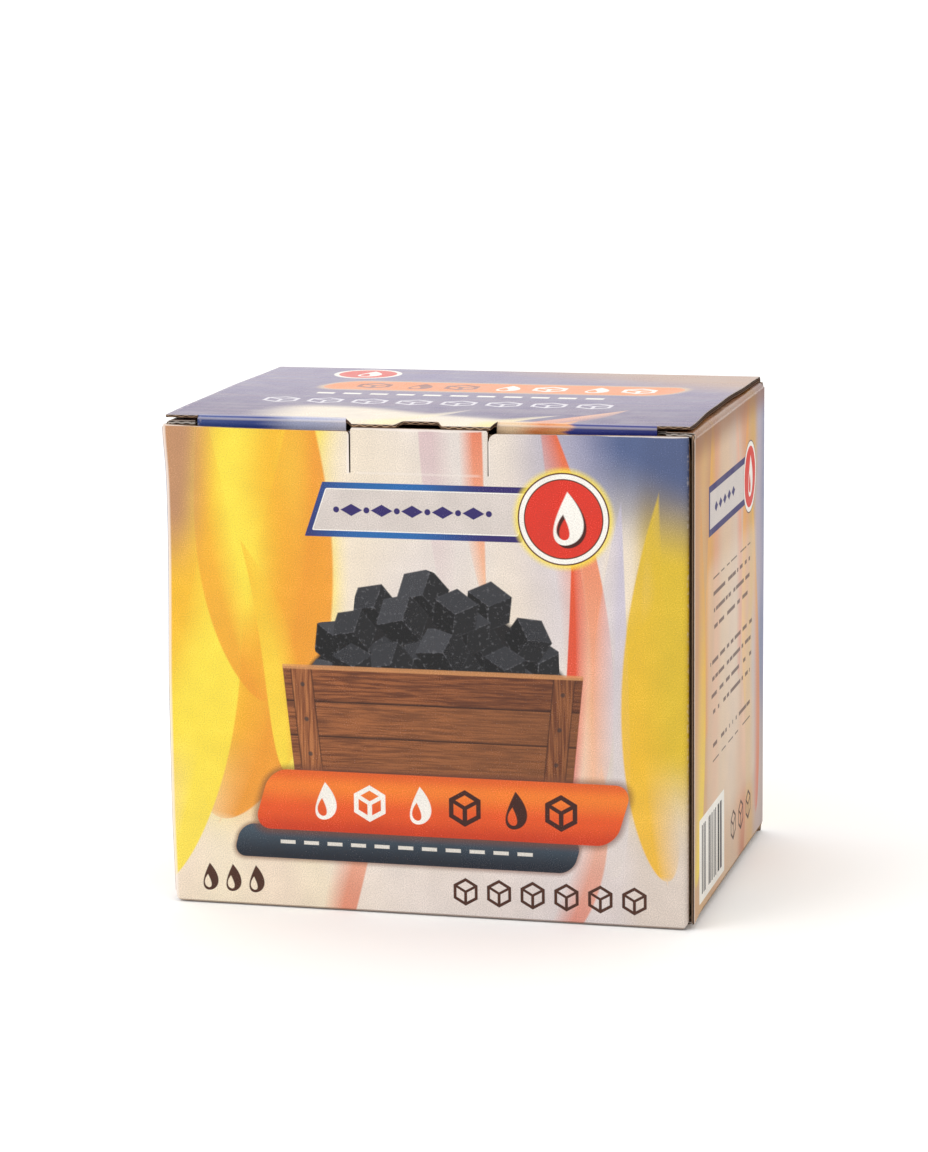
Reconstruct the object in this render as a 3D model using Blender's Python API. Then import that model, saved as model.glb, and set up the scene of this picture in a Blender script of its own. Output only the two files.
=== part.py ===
# Charcoal carton: a printed, tuck-top box of thin fluted board, standing closed.
# The frame is the carton's own: origin at the middle of its base, +Z up, the front faces -Y.
# Each panel is one flat board, parted from its neighbours at the creases, so that the lid,
# its tuck flap and the two dust flaps can turn.
import math

import bmesh
import bpy

mm = 0.001

# The carton and its board
boxWidth = 132.0 * mm
boxDepth = 100.0 * mm
frontTop = 120.0 * mm
foldTop = 120.8 * mm
board = 1.2 * mm
gap = 0.3 * mm

# The lid, with the lip that is cut out of its front crease
lidTop = foldTop + gap + board
creaseSetback = 3.3 * mm
lidLeft = -65.4 * mm
lidRight = 64.8 * mm
lipBackSpan = (-20.0 * mm, 17.5 * mm)
lipFrontSpan = (-17.7 * mm, 15.6 * mm)
lipLength = 3.1 * mm
lipTilt = math.radians(11.0)
notchSpan = (-7.0 * mm, 4.8 * mm)
notchDepth = 2.0 * mm

# The tuck flap, which hangs from the lid's front crease behind the front panel
tuckSpan = (-57.6 * mm, 56.4 * mm)
tuckLength = 13.2 * mm
tuckCorner = 6.0 * mm
windowDepth = 3.4 * mm

# The lock tab, cut in the front panel's top edge by two slits
tabSpan = (-18.1 * mm, 15.9 * mm)
tabHinge = 109.3 * mm
tabTop = 119.5 * mm
tabLean = 0.55 * mm
slitWidth = 0.4 * mm
slitCorner = 1.2 * mm

# The dust flaps, which fold in from the tops of the side panels
dustReach = 45.0 * mm
dustCorner = 6.0 * mm
dustShoulder = 7.4 * mm
dustClear = 0.6 * mm
dustTaper = 0.36
dustBackInset = 2.5 * mm

# The glued seam behind the front right corner, and the closed base
seamWidth = 16.0 * mm
seamInset = 5.0 * mm
sideFoot = board + gap
baseInset = 0.5 * mm
baseFlapReach = 54.0 * mm
cornerCut = 1.8 * mm
edgeRound = 0.8 * mm

printYellow = (0.86, 0.52, 0.07)
printOrange = (0.80, 0.25, 0.04)
printLavender = (0.42, 0.38, 0.52)
printBlue = (0.12, 0.14, 0.36)
linerKraft = (0.46, 0.33, 0.21)
linerPale = (0.62, 0.55, 0.45)
printGloss = 0.42
linerDull = 0.85


def material(name, colour, roughness):
    made = bpy.data.materials.new(name)
    made.use_nodes = True
    shader = made.node_tree.nodes["Principled BSDF"]
    shader.inputs["Base Color"].default_value = (*colour, 1.0)
    shader.inputs["Roughness"].default_value = roughness
    shader.inputs["Metallic"].default_value = 0.0
    return made


def rounded(corners, steps=4):
    """The points of an outline whose corners are (x, y, radius), each radius cut as an arc."""
    points = []
    count = len(corners)
    for index, (x, y, radius) in enumerate(corners):
        if radius <= 0.0:
            points.append((x, y))
            continue
        beforeX, beforeY, _ = corners[index - 1]
        afterX, afterY, _ = corners[(index + 1) % count]
        toBefore = math.atan2(beforeY - y, beforeX - x)
        toAfter = math.atan2(afterY - y, afterX - x)
        opening = (toBefore - toAfter) % (2 * math.pi)
        if opening > math.pi:
            opening -= 2 * math.pi
        half = opening / 2
        reach = radius / abs(math.tan(half))
        far = radius / abs(math.sin(half))
        middle = toAfter + half
        centreX = x + far * math.cos(middle)
        centreY = y + far * math.sin(middle)
        start = math.atan2(y + reach * math.sin(toBefore) - centreY, x + reach * math.cos(toBefore) - centreX)
        end = math.atan2(y + reach * math.sin(toAfter) - centreY, x + reach * math.cos(toAfter) - centreX)
        sweep = (end - start + math.pi) % (2 * math.pi) - math.pi
        for step in range(steps + 1):
            angle = start + sweep * step / steps
            points.append((centreX + radius * math.cos(angle), centreY + radius * math.sin(angle)))
    return points


def makeBoard(name, outlines, look, place, turn=(0.0, 0.0, 0.0), bend=None):
    """A board one thickness deep. Its outer face is the outline in local X and Y, and it lies below it.
    Outlines that share points share a crease. bend lifts or drops the points of both faces."""
    shape = bmesh.new()
    known = {}
    for outline in outlines:
        corners = []
        for x, y in outline:
            key = (round(x * 1e7), round(y * 1e7))
            if key not in known:
                known[key] = shape.verts.new((x, y, 0.0))
            corners.append(known[key])
        shape.faces.new(corners)
    shape.normal_update()
    for face in shape.faces:
        if face.normal.z < 0.0:
            face.normal_flip()
    lower = bmesh.ops.extrude_face_region(shape, geom=shape.faces[:], use_keep_orig=True)
    moved = [item for item in lower["geom"] if isinstance(item, bmesh.types.BMVert)]
    bmesh.ops.translate(shape, verts=moved, vec=(0.0, 0.0, -board))
    if bend:
        for vert in shape.verts:
            vert.co.z += bend(vert.co.x, vert.co.y)
    bmesh.ops.recalc_face_normals(shape, faces=shape.faces[:])
    mesh = bpy.data.meshes.new(name)
    shape.to_mesh(mesh)
    shape.free()
    mesh.materials.append(look)
    made = bpy.data.objects.new(name, mesh)
    made.location = place
    made.rotation_euler = turn
    bpy.context.collection.objects.link(made)
    return made


def hinge(name, place):
    empty = bpy.data.objects.new(name, None)
    empty.empty_display_size = 10 * mm
    empty.location = place
    bpy.context.collection.objects.link(empty)
    return empty


def hang(child, parent):
    child.parent = parent
    child.location = [c - p for c, p in zip(child.location, parent.location)]


def makeFrontPanel():
    left = -boxWidth / 2
    right = boxWidth / 2 - board - gap
    tabLeft, tabRight = tabSpan
    hingeLeft = (tabLeft, tabHinge)
    hingeRight = (tabRight, tabHinge)
    # The panel's own outline runs round the tab's hinge line, and each slit opens beside the tab.
    panel = rounded([
        (left, 0.0, 0.0),
        (right - cornerCut, 0.0, 0.0),
        (right, cornerCut, 0.0),
        (right, frontTop, edgeRound),
        (tabRight + slitWidth, frontTop, slitCorner),
        (tabRight + slitWidth, tabHinge, 0.0),
        (*hingeRight, 0.0),
        (*hingeLeft, 0.0),
        (tabLeft - slitWidth, tabHinge, 0.0),
        (tabLeft - slitWidth, frontTop, slitCorner),
        (left, frontTop, edgeRound),
    ])
    tab = [hingeLeft, hingeRight, (tabRight, tabTop), (tabLeft, tabTop)]

    def lean(x, y):
        inTab = tabLeft - slitWidth / 2 < x < tabRight + slitWidth / 2
        return -tabLean * (y - tabHinge) / (tabTop - tabHinge) if inTab and y > tabHinge else 0.0

    look = material("front_print", printYellow, printGloss)
    makeBoard("front_panel", [panel, tab], look, (0.0, -boxDepth / 2, 0.0), (math.pi / 2, 0.0, 0.0), lean)


def makeSidePanels():
    sideTop = foldTop - board - gap
    inner = boxDepth / 2 - board - gap
    # Seen from the right the local X of this panel runs from the front to the back.
    rightOutline = rounded([
        (-boxDepth / 2, sideFoot, 0.0),
        (inner, sideFoot, 0.0),
        (inner, sideTop, 0.0),
        (-boxDepth / 2, sideTop, 1.5 * mm),
    ])
    look = material("right_print", printOrange, printGloss)
    makeBoard("right_panel", [rightOutline], look, (boxWidth / 2, 0.0, 0.0), (math.pi / 2, 0.0, math.pi / 2))
    leftOutline = [(-inner, sideFoot), (inner, sideFoot), (inner, sideTop), (-inner, sideTop)]
    look = material("left_print", printOrange, printGloss)
    makeBoard("left_panel", [leftOutline], look, (-boxWidth / 2, 0.0, 0.0), (math.pi / 2, 0.0, -math.pi / 2))
    half = boxWidth / 2
    backTop = lidTop - board - gap
    backOutline = [(-half, 0.0), (half, 0.0), (half, backTop), (-half, backTop)]
    look = material("back_print", printYellow, printGloss)
    makeBoard("back_panel", [backOutline], look, (0.0, boxDepth / 2, 0.0), (math.pi / 2, 0.0, math.pi))


def makeSeamFlap():
    low = seamInset
    high = foldTop - board - gap - seamInset
    front = -boxDepth / 2 + board + gap
    back = front + seamWidth
    outline = [(front, low), (back, low + 4 * mm), (back, high - 4 * mm), (front, high)]
    look = material("seam_kraft", linerKraft, linerDull)
    place = (boxWidth / 2 - board - gap, 0.0, 0.0)
    makeBoard("seam_flap", [outline], look, place, (math.pi / 2, 0.0, math.pi / 2))


def makeBase():
    wide = boxWidth / 2 - baseInset
    half = boxWidth / 2 - board - gap
    deep = boxDepth / 2 - board - gap
    outline = [(-wide, -deep), (wide, -deep), (wide, deep), (-wide, deep)]
    look = material("base_kraft", linerKraft, linerDull)
    makeBoard("base_panel", [outline], look, (0.0, 0.0, 0.0), (math.pi, 0.0, 0.0))
    for name, side in (("base_flap_left", -1), ("base_flap_right", 1)):
        outer = side * half
        tip = side * (half - baseFlapReach)
        outline = [(outer, -deep), (tip, -deep + 3 * mm), (tip, deep - 3 * mm), (outer, deep)]
        look = material(name + "_kraft", linerPale, linerDull)
        makeBoard(name, [outline], look, (0.0, 0.0, sideFoot), (math.pi, 0.0, 0.0))


def makeDustFlap(name, side):
    """One dust flap, closed flat over the box's mouth. side is -1 for the left one."""
    inner = boxDepth / 2 - board - gap
    front = -inner + 0.2 * mm
    tuckBack = -boxDepth / 2 + creaseSetback + board + dustClear
    backRoot = boxDepth / 2 - dustBackInset
    backTip = backRoot - dustTaper * dustReach
    corners = [
        (0.0, front, 0.0),
        (dustShoulder, front, 1.0 * mm),
        (dustShoulder, tuckBack, 0.0),
        (dustReach, tuckBack, dustCorner),
        (dustReach, backTip, dustCorner),
        (0.0, backRoot, 0.0),
    ]
    outline = [(-side * x, y) for x, y in rounded(corners)]
    look = material(name + "_print", linerPale, linerDull)
    place = (side * boxWidth / 2, 0.0, foldTop)
    makeBoard(name, [outline], look, place)


def makeLid():
    crease = -boxDepth / 2 + creaseSetback
    hingeLine = hinge("lid_hinge", (0.0, boxDepth / 2, lidTop))
    backLeft, backRight = lipBackSpan
    frontLeft, frontRight = lipFrontSpan
    notchLeft, notchRight = notchSpan
    lipFront = crease - lipLength
    panel = [
        (lidLeft, crease),
        (backLeft, crease),
        (backRight, crease),
        (lidRight, crease),
        (lidRight, boxDepth / 2),
        (lidLeft, boxDepth / 2),
    ]
    middle = (notchLeft + notchRight) / 2
    halfNotch = (notchRight - notchLeft) / 2
    scoop = []
    for step in range(9):
        angle = math.pi * step / 8
        scoop.append((middle - halfNotch * math.cos(angle), lipFront + notchDepth * math.sin(angle)))
    lip = [(backLeft, crease), (frontLeft, lipFront), *scoop, (frontRight, lipFront), (backRight, crease)]

    def tilt(x, y):
        return (y - crease) * math.tan(lipTilt) if y < crease else 0.0

    look = material("lid_print", printLavender, printGloss)
    made = makeBoard("lid_panel", [panel, lip], look, (0.0, 0.0, lidTop), bend=tilt)
    hang(made, hingeLine)
    return hingeLine


def makeTuckFlap(lidHinge):
    crease = -boxDepth / 2 + creaseSetback
    left, right = tuckSpan
    windowLeft, windowRight = lipBackSpan
    top = -board - gap
    outline = rounded([
        (left, top, 0.0),
        (left, -tuckLength, tuckCorner),
        (right, -tuckLength, tuckCorner),
        (right, top, 0.0),
        (windowRight, top, 0.0),
        (windowRight, -windowDepth, 0.6 * mm),
        (windowLeft, -windowDepth, 0.6 * mm),
        (windowLeft, top, 0.0),
    ])
    look = material("tuck_print", printBlue, printGloss)
    made = makeBoard("tuck_flap", [outline], look, (0.0, crease, lidTop), (math.pi / 2, 0.0, 0.0))
    hang(made, lidHinge)


def main():
    for thing in list(bpy.data.objects):
        bpy.data.objects.remove(thing, do_unlink=True)
    makeFrontPanel()
    makeSidePanels()
    makeSeamFlap()
    makeBase()
    makeDustFlap("dust_flap_left", -1)
    makeDustFlap("dust_flap_right", 1)
    makeTuckFlap(makeLid())


main()
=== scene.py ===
# Charcoal carton: the looks. A small tuck-top box of printed fluted board, standing closed.
# Every piece of board is one sheet, worked out flat and folded along its creases.
import math

import bpy
import numpy as np
from mathutils import Matrix, Vector


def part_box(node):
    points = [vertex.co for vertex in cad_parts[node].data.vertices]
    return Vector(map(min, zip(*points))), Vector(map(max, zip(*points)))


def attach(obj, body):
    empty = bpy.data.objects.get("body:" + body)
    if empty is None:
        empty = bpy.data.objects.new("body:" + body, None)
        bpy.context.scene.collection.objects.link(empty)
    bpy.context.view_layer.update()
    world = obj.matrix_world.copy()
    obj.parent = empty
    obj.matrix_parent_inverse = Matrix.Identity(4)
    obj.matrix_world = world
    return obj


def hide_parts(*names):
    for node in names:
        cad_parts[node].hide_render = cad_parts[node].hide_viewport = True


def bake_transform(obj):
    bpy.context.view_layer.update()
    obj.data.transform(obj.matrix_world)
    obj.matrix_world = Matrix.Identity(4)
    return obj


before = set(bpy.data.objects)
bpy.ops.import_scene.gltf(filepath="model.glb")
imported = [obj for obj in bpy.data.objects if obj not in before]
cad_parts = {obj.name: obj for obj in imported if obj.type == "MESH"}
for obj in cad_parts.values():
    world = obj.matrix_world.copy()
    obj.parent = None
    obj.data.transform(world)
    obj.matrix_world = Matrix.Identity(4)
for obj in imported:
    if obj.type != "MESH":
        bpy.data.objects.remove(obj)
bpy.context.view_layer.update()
print("frame loaded:", ", ".join(sorted(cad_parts)))

mm = 0.001
frontLow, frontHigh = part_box("front_panel")
lidLow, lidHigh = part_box("lid_panel")
tuckLow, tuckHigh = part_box("tuck_flap")
backLow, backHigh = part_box("back_panel")
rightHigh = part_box("right_panel")[1]
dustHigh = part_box("dust_flap_left")[1]
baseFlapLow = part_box("base_flap_left")[0]

# Sizes that more than one piece of board shares, in metres. The box's own come from the frame.
carton = {
    "board": backHigh[1] - backLow[1],  # how thick the fluted board is
    "fold": 1.3 * mm,  # outer radius of a crease
    "left": frontLow[0] + 0.3 * mm,
    "right": rightHigh[0],
    "front": frontLow[1],
    "back": backHigh[1],
    "frontTop": frontHigh[2],
    "dustTop": dustHigh[2] - 0.25 * mm,
    "lidTop": lidHigh[2] - 0.3 * mm,
    "crease": tuckLow[1],  # where the lid folds down into the tuck flap
    "seam": frontHigh[0],
    "baseStep": baseFlapLow[2],
}
tuckSpan = (tuckLow[0], tuckHigh[0])
fluteStep = 2.6  # mm from one flute to the next


# Sheets of board

def foldedRun(corners, radius, side):
    # A folded board seen on its edge: straight runs between corners, joined by arcs of one radius.
    # Returns where each piece starts along the run, ending with the whole length, and a function of the
    # way along it that gives the point and the unit normal on the printed side (side 1 is left of the
    # run, -1 right).
    corners = np.array(corners, float)
    steps = np.diff(corners, axis=0)
    lengths = np.hypot(*steps.T)
    ways = steps / lengths[:, None]
    headings = np.unwrap(np.arctan2(ways[:, 1], ways[:, 0]))
    turns = np.diff(headings)
    tangents = np.concatenate([[0.0], radius * np.tan(np.abs(turns) / 2), [0.0]])
    pieces = []
    s = 0.0
    for index, length in enumerate(lengths):
        straight = length - tangents[index] - tangents[index + 1]
        start = corners[index] + ways[index] * tangents[index]
        pieces.append(("run", s, start, headings[index], 0.0))
        s += straight
        if index < len(turns):
            pieces.append(("arc", s, start + ways[index] * straight, headings[index], turns[index]))
            s += radius * abs(turns[index])
    starts = np.array([piece[1] for piece in pieces] + [s])

    def at(run):
        point = np.zeros(run.shape + (2,))
        heading = np.zeros(run.shape)
        which = np.clip(np.searchsorted(starts, run, side="right") - 1, 0, len(pieces) - 1)
        for index, (kind, begin, start, angle, turn) in enumerate(pieces):
            here = which == index
            along = run[here] - begin
            if kind == "run":
                point[here] = start + along[:, None] * np.array([math.cos(angle), math.sin(angle)])
                heading[here] = angle
                continue
            sign = math.copysign(1.0, turn)
            swept = angle + sign * along / radius
            centre = start + sign * radius * np.array([-math.sin(angle), math.cos(angle)])
            point[here] = centre + sign * radius * np.stack([np.sin(swept), -np.cos(swept)], -1)
            heading[here] = swept
        normal = side * np.stack([-np.sin(heading), np.cos(heading)], -1)
        return point, normal

    return starts, at


def gridLines(*stops):
    # Grid lines from the first stop on: each later stop is (place, number of steps up to it).
    lines = [np.array([stops[0]])]
    for place, count in stops[1:]:
        lines.append(np.linspace(lines[-1][-1], place, count + 1)[1:])
    return np.concatenate(lines)


def cornerDrop(distance, radius):
    # How far a rounded corner falls below its edge, at a distance from the corner's end
    inside = np.clip(radius - distance, 0.0, radius)
    return radius - np.sqrt(np.maximum(radius * radius - inside * inside, 0.0))


def everywhere(u, v):
    return np.ones(u.shape, bool)


def shareOf(value):
    return np.clip(value, 0.0, 1.0)


def smoothStep(value, low, high):
    t = shareOf((value - low) / (high - low))
    return t * t * (3.0 - 2.0 * t)


def archOf(share):
    # Half a wave: 0 at both ends and 1 halfway
    return np.sin(np.pi * shareOf(share))


def bellOf(distance):
    # 1 at no distance, falling off evenly both ways
    return np.exp(-(distance ** 2))


def beneath(at, run, depth):
    # The point of a folded run at a depth below its printed side
    point, normal = at(run)
    return point - normal * np.asarray(depth)[..., None]


def boardPiece(name, us, vs, keep, shape, place, looks, panelOf=None, rimLayers=3):
    # A sheet of board. us and vs are its grid lines; keep(u, v) says at the cells' middles which are board;
    # shape(u, v) moves the grid points to the cut outline, flat; place(u, v, w) folds the sheet and gives the
    # point w below the printed face. Both faces are the grid, and a rim closes every open side.
    # looks: print materials, then the inner liner, the edge across the flutes and the edge along them.
    # panelOf(u) gives a cell's print material and the place where its print has its origin.
    nu, nv = len(us), len(vs)
    u, v = np.meshgrid(us, vs)
    middleU, middleV = np.meshgrid((us[1:] + us[:-1]) / 2, (vs[1:] + vs[:-1]) / 2)
    kept = keep(middleU, middleV)
    u, v = shape(u, v)
    index = np.arange(nu * nv).reshape(nv, nu)
    corner = {
        "a": index[:-1, :-1], "b": index[:-1, 1:], "c": index[1:, 1:], "d": index[1:, :-1],
    }
    layer = nu * nv
    depth = np.linspace(0.0, 1.0, rimLayers + 1) * carton["board"]
    points = [np.stack(place(u, v, w), -1).reshape(-1, 3) for w in depth]
    flat = np.stack([u.ravel(), v.ravel()], -1)
    prints = len(looks) - 3
    if panelOf is None:
        cellSlot = np.zeros(kept.shape, int)
        cellOrigin = np.zeros(kept.shape)
    else:
        cellSlot, cellOrigin = panelOf(middleU)
    origin = np.stack([cellOrigin[kept], np.zeros(kept.sum())], -1)[:, None, :]
    outer = np.stack([corner[c][kept] for c in "abcd"], 1)
    faces = [outer, outer[:, ::-1] + layer * rimLayers]
    uvs = [flat[outer] - origin, flat[outer[:, ::-1]] - origin]
    slots = [cellSlot[kept], np.full(len(outer), prints)]
    padded = np.pad(kept, 1)
    sides = {
        "ab": (padded[:-2, 1:-1], prints + 1), "cd": (padded[2:, 1:-1], prints + 1),
        "bc": (padded[1:-1, 2:], prints + 2), "da": (padded[1:-1, :-2], prints + 2),
    }
    for (first, second), (neighbour, slot) in sides.items():
        open_ = kept & ~neighbour
        start, end = corner[first][open_], corner[second][open_]
        for step in range(rimLayers):
            up, down = layer * step, layer * (step + 1)
            faces.append(np.stack([end + up, start + up, start + down, end + down], 1))
            along = np.stack([flat[end].sum(1), flat[start].sum(1)], 1)
            along = np.stack([along[:, 0], along[:, 1], along[:, 1], along[:, 0]], 1)
            below = np.array([depth[step], depth[step], depth[step + 1], depth[step + 1]])
            uvs.append(np.stack([along, np.broadcast_to(below, along.shape)], -1))
            slots.append(np.full(len(start), slot))
    faces = np.concatenate(faces)
    used, compact = np.unique(faces, return_inverse=True)
    verts = np.concatenate(points)[used]
    mesh = bpy.data.meshes.new(name)
    mesh.from_pydata(verts.tolist(), [], compact.reshape(-1, 4).tolist())
    for look in looks:
        mesh.materials.append(look)
    mesh.polygons.foreach_set("material_index", np.concatenate(slots).astype(np.int32))
    layerUv = mesh.uv_layers.new(name="sheet")
    layerUv.data.foreach_set("uv", np.concatenate(uvs).reshape(-1).astype(np.float32))
    mesh.shade_smooth()
    mesh.set_sharp_from_angle(angle=math.radians(38))
    mesh.validate()
    made = bpy.data.objects.new(name, mesh)
    bpy.context.collection.objects.link(made)
    return made


# Node formulas

class Term:
    # An output in a node tree, so that a pattern is written as a plain formula
    def __init__(self, tree, source):
        self.tree = tree
        self.source = source

    def __add__(self, other):
        return maths("ADD", self, other)

    def __radd__(self, other):
        return maths("ADD", other, self)

    def __sub__(self, other):
        return maths("SUBTRACT", self, other)

    def __rsub__(self, other):
        return maths("SUBTRACT", other, self)

    def __mul__(self, other):
        return maths("MULTIPLY", self, other)

    def __rmul__(self, other):
        return maths("MULTIPLY", other, self)

    def __truediv__(self, other):
        return maths("DIVIDE", self, other)

    def __neg__(self):
        return maths("MULTIPLY", self, -1.0)

    def __abs__(self):
        return maths("ABSOLUTE", self)


def inkOf(colour):
    # An ink by its name, and anything else as it is
    return inks[colour] if isinstance(colour, str) else colour


def plug(term, socket):
    # Links a term to a socket, or sets the socket to a number, a place or an ink
    source = term.source if isinstance(term, Term) else inkOf(term)
    if isinstance(source, bpy.types.NodeSocket):
        source.node.id_data.links.new(source, socket)
    elif hasattr(socket.default_value, "__len__") and len(source) != len(socket.default_value):
        socket.default_value = (*source, *((0.0,) if len(source) == 2 else (1.0,)))
    else:
        socket.default_value = source


def treeOf(*terms):
    return next(term.tree for term in terms if isinstance(term, Term))


def added(tree, kind, inputs, output=0, **settings):
    # Adds a node, plugs terms or numbers into its inputs and gives the output asked for
    node = tree.nodes.new("ShaderNode" + kind)
    for name, value in settings.items():
        setattr(node, name, value)
    for name, value in inputs.items():
        plug(value, node.inputs[name])
    return Term(tree, node.outputs[output])


def outputOf(term, output):
    # Another output of the node that a term comes from
    return Term(term.tree, term.source.node.outputs[output])


def maths(operation, *terms, clamp=False):
    return added(treeOf(*terms), "Math", dict(enumerate(terms)), operation=operation, use_clamp=clamp)


def oneMaths(operation):
    return lambda *terms: maths(operation, *terms)


highest, lowest, below, above, fraction, wholePart, sine = (
    oneMaths(operation)
    for operation in ("MAXIMUM", "MINIMUM", "LESS_THAN", "GREATER_THAN", "FRACT", "FLOOR", "SINE")
)


def vectors(operation, *terms):
    output = "Value" if operation in ("DOT_PRODUCT", "DISTANCE", "LENGTH") else "Vector"
    return added(treeOf(*terms), "VectorMath", dict(enumerate(terms)), output, operation=operation)


def parts(vector):
    x = added(vector.tree, "SeparateXYZ", {0: vector})
    return x, outputOf(x, 1)


def joined(x, y):
    return added(treeOf(x, y), "CombineXYZ", {0: x, 1: y})


def mixed(amount, under, over):
    # Lays one colour over another by an amount from 0 to 1
    return added(treeOf(amount, under, over), "Mix", {0: amount, 6: under, 7: over}, 2, data_type="RGBA")


def painted(colour, *layers):
    # Lays several colours over one in order, each given as (amount, colour)
    for amount, over in layers:
        colour = mixed(amount, colour, over)
    return colour


def shaded(colour, amount):
    # A colour made darker or lighter, or a vector made longer or shorter
    return added(treeOf(colour, amount), "VectorMath", {0: colour, "Scale": amount}, operation="SCALE")


def filled(distance, soft=0.12):
    # 1 inside an outline and 0 outside, from the signed distance to it in mm
    return maths("MULTIPLY_ADD", distance, -1.0 / soft, 0.5, clamp=True)


def ramped(value, low, high):
    # 0 at low, 1 at high, eased
    inputs = {"Value": value, "From Min": low, "From Max": high}
    return added(value.tree, "MapRange", inputs, "Result", interpolation_type="SMOOTHSTEP")


def discOf(point, centre, radius):
    return vectors("DISTANCE", point, centre) - radius


def slabOf(point, centre, half, rounding):
    # Signed distance to a box with rounded corners
    away = vectors("ABSOLUTE", vectors("SUBTRACT", point, centre))
    away = vectors("SUBTRACT", away, (half[0] - rounding, half[1] - rounding, 0.0))
    away = vectors("MAXIMUM", away, (0.0, 0.0, 0.0))
    return vectors("LENGTH", away) - rounding


def noiseOf(point, scale, detail=2.0, roughness=0.5):
    inputs = {"Vector": point, "Scale": scale, "Detail": detail, "Roughness": roughness}
    return added(point.tree, "TexNoise", inputs, "Fac", noise_dimensions="2D")


def beatOf(x, step, shift=0.0):
    # How far a place is from the nearest middle of a row of marks
    return abs(fraction(x / step + shift) - 0.5) * step


def colourRamp(value, stops):
    node = value.tree.nodes.new("ShaderNodeValToRGB")
    plug(value, node.inputs[0])
    ramp = node.color_ramp
    ramp.interpolation = "EASE"
    while len(ramp.elements) < len(stops):
        ramp.elements.new(0.5)
    for element, (place, colour) in zip(ramp.elements, stops):
        element.position = place
        element.color = (*inkOf(colour), 1.0)
    return Term(value.tree, node.outputs[0])


def ink(red, green, blue):
    # A printed colour given as the eye reads it, 0 to 255, turned to the renderer's linear light
    shares = np.array([red, green, blue]) / 255.0
    linear = np.where(shares < 0.04045, shares / 12.92, ((shares + 0.055) / 1.055) ** 2.4)
    return tuple(linear.tolist())


socketKinds = {
    **dict.fromkeys(("Point", "Shift", "Root", "Along", "Across"), "NodeSocketVector"),
    **dict.fromkeys(("Colour", "Under", "Low", "High", "Wave"), "NodeSocketColor"),
}


def makeGroup(name, inputs, outputs, build):
    # A node group with named sockets, plain values but for the names above. build gets the tree and its
    # inputs and returns its outputs by name.
    tree = bpy.data.node_groups.new(name, "ShaderNodeTree")
    for labels, way in ((inputs, "INPUT"), (outputs, "OUTPUT")):
        for label in labels.split():
            kind = socketKinds.get(label, "NodeSocketFloat")
            tree.interface.new_socket(name=label, in_out=way, socket_type=kind)
    source = tree.nodes.new("NodeGroupInput")
    results = build(tree, {label: Term(tree, source.outputs[label]) for label in inputs.split()})
    sink = tree.nodes.new("NodeGroupOutput")
    for label, term in results.items():
        plug(term, sink.inputs[label])
    return tree


def useGroup(tree, group, **values):
    # Places a group in a tree and plugs in its values
    node = tree.nodes.new("ShaderNodeGroup")
    node.node_tree = group
    for label, value in values.items():
        plug(value, node.inputs[label])
    return {output.name: Term(tree, output) for output in node.outputs}


# Effects that several materials use, each a node group

def buildPaper(tree, given):
    # Coated paper over board: printing grain, a slow mottle, a faint wash-board from the flutes, and specks
    point = given["Point"]
    grain = noiseOf(point, 3.6, 0.0)
    mottle = noiseOf(point, 0.12, 1.0, 0.6)
    across, up = parts(point)
    flutes = sine(across * (2 * math.pi / fluteStep))
    ripple = sine(across * 0.31 + sine(up * 0.23) * 2.0) * sine(up * 0.19)
    height = grain * 0.07 + ripple * 0.25 + flutes * given["Flutes"]
    rough = given["Roughness"] + (mottle - 0.5) * 0.16 + (grain - 0.5) * 0.10
    return {
        "Height": height, "Roughness": rough, "Grain": grain - 0.5, "Mottle": mottle - 0.5,
        "Specks": ramped(grain, 0.86, 0.92),
    }


paperOutputs = "Height Roughness Grain Mottle Specks"
paper = makeGroup("coated paper", "Point Flutes Roughness", paperOutputs, buildPaper)


def buildRubbed(tree, given):
    # Wear along a crease or cut edge: the print cracks and shows pale paper near it, in broken patches
    point = given["Point"]
    patches = noiseOf(point, 0.7, 1.0, 0.7)
    reach = given["Reach"] * (0.3 + patches * 1.4)
    near = 1.0 - ramped(given["Distance"] / highest(reach, 0.02), 0.2, 1.0)
    return {"Amount": near * ramped(patches, 0.40, 0.75) * given["Strength"]}


rubbed = makeGroup("rubbed edge", "Point Distance Reach Strength", "Amount", buildRubbed)


def buildTongue(tree, given):
    # A flame tongue: a leaf along a line from root to tip, widest near the root and pointed at the tip, with
    # its middle line bowed sideways. Along is the line's way over its length and Across its way turned right.
    # Puts out how much it covers, how far up it a point is, and how far to the side of its middle line.
    offset = vectors("SUBTRACT", given["Point"], given["Root"])
    t = vectors("DOT_PRODUCT", offset, given["Along"])
    aside = vectors("DOT_PRODUCT", offset, given["Across"])
    rest = 1.0 - t
    bowed = aside - t * rest * given["Bend"]
    half = maths("SQRT", highest(t, 0.0)) * rest * given["Width"]
    outside = highest(abs(bowed) - half, t * -20.0)
    cover = maths("MULTIPLY_ADD", outside / given["Soft"], -1.0, 0.5, clamp=True)
    return {"Cover": cover, "Up": t, "Aside": bowed}


tongueInputs = "Point Root Along Across Width Bend Soft"
tongue = makeGroup("flame tongue", tongueInputs, "Cover Up Aside", buildTongue)


def tongueSizes(root, tip, width, bend, soft):
    along = np.subtract(tip, root)
    length = float(np.hypot(*along))
    x, z = along / length
    return {
        "Root": (*root, 0.0), "Along": (x / length, z / length, 0.0), "Across": (z, -x, 0.0),
        "Width": width * 1.9, "Bend": bend * 4.0, "Soft": soft,
    }


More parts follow.
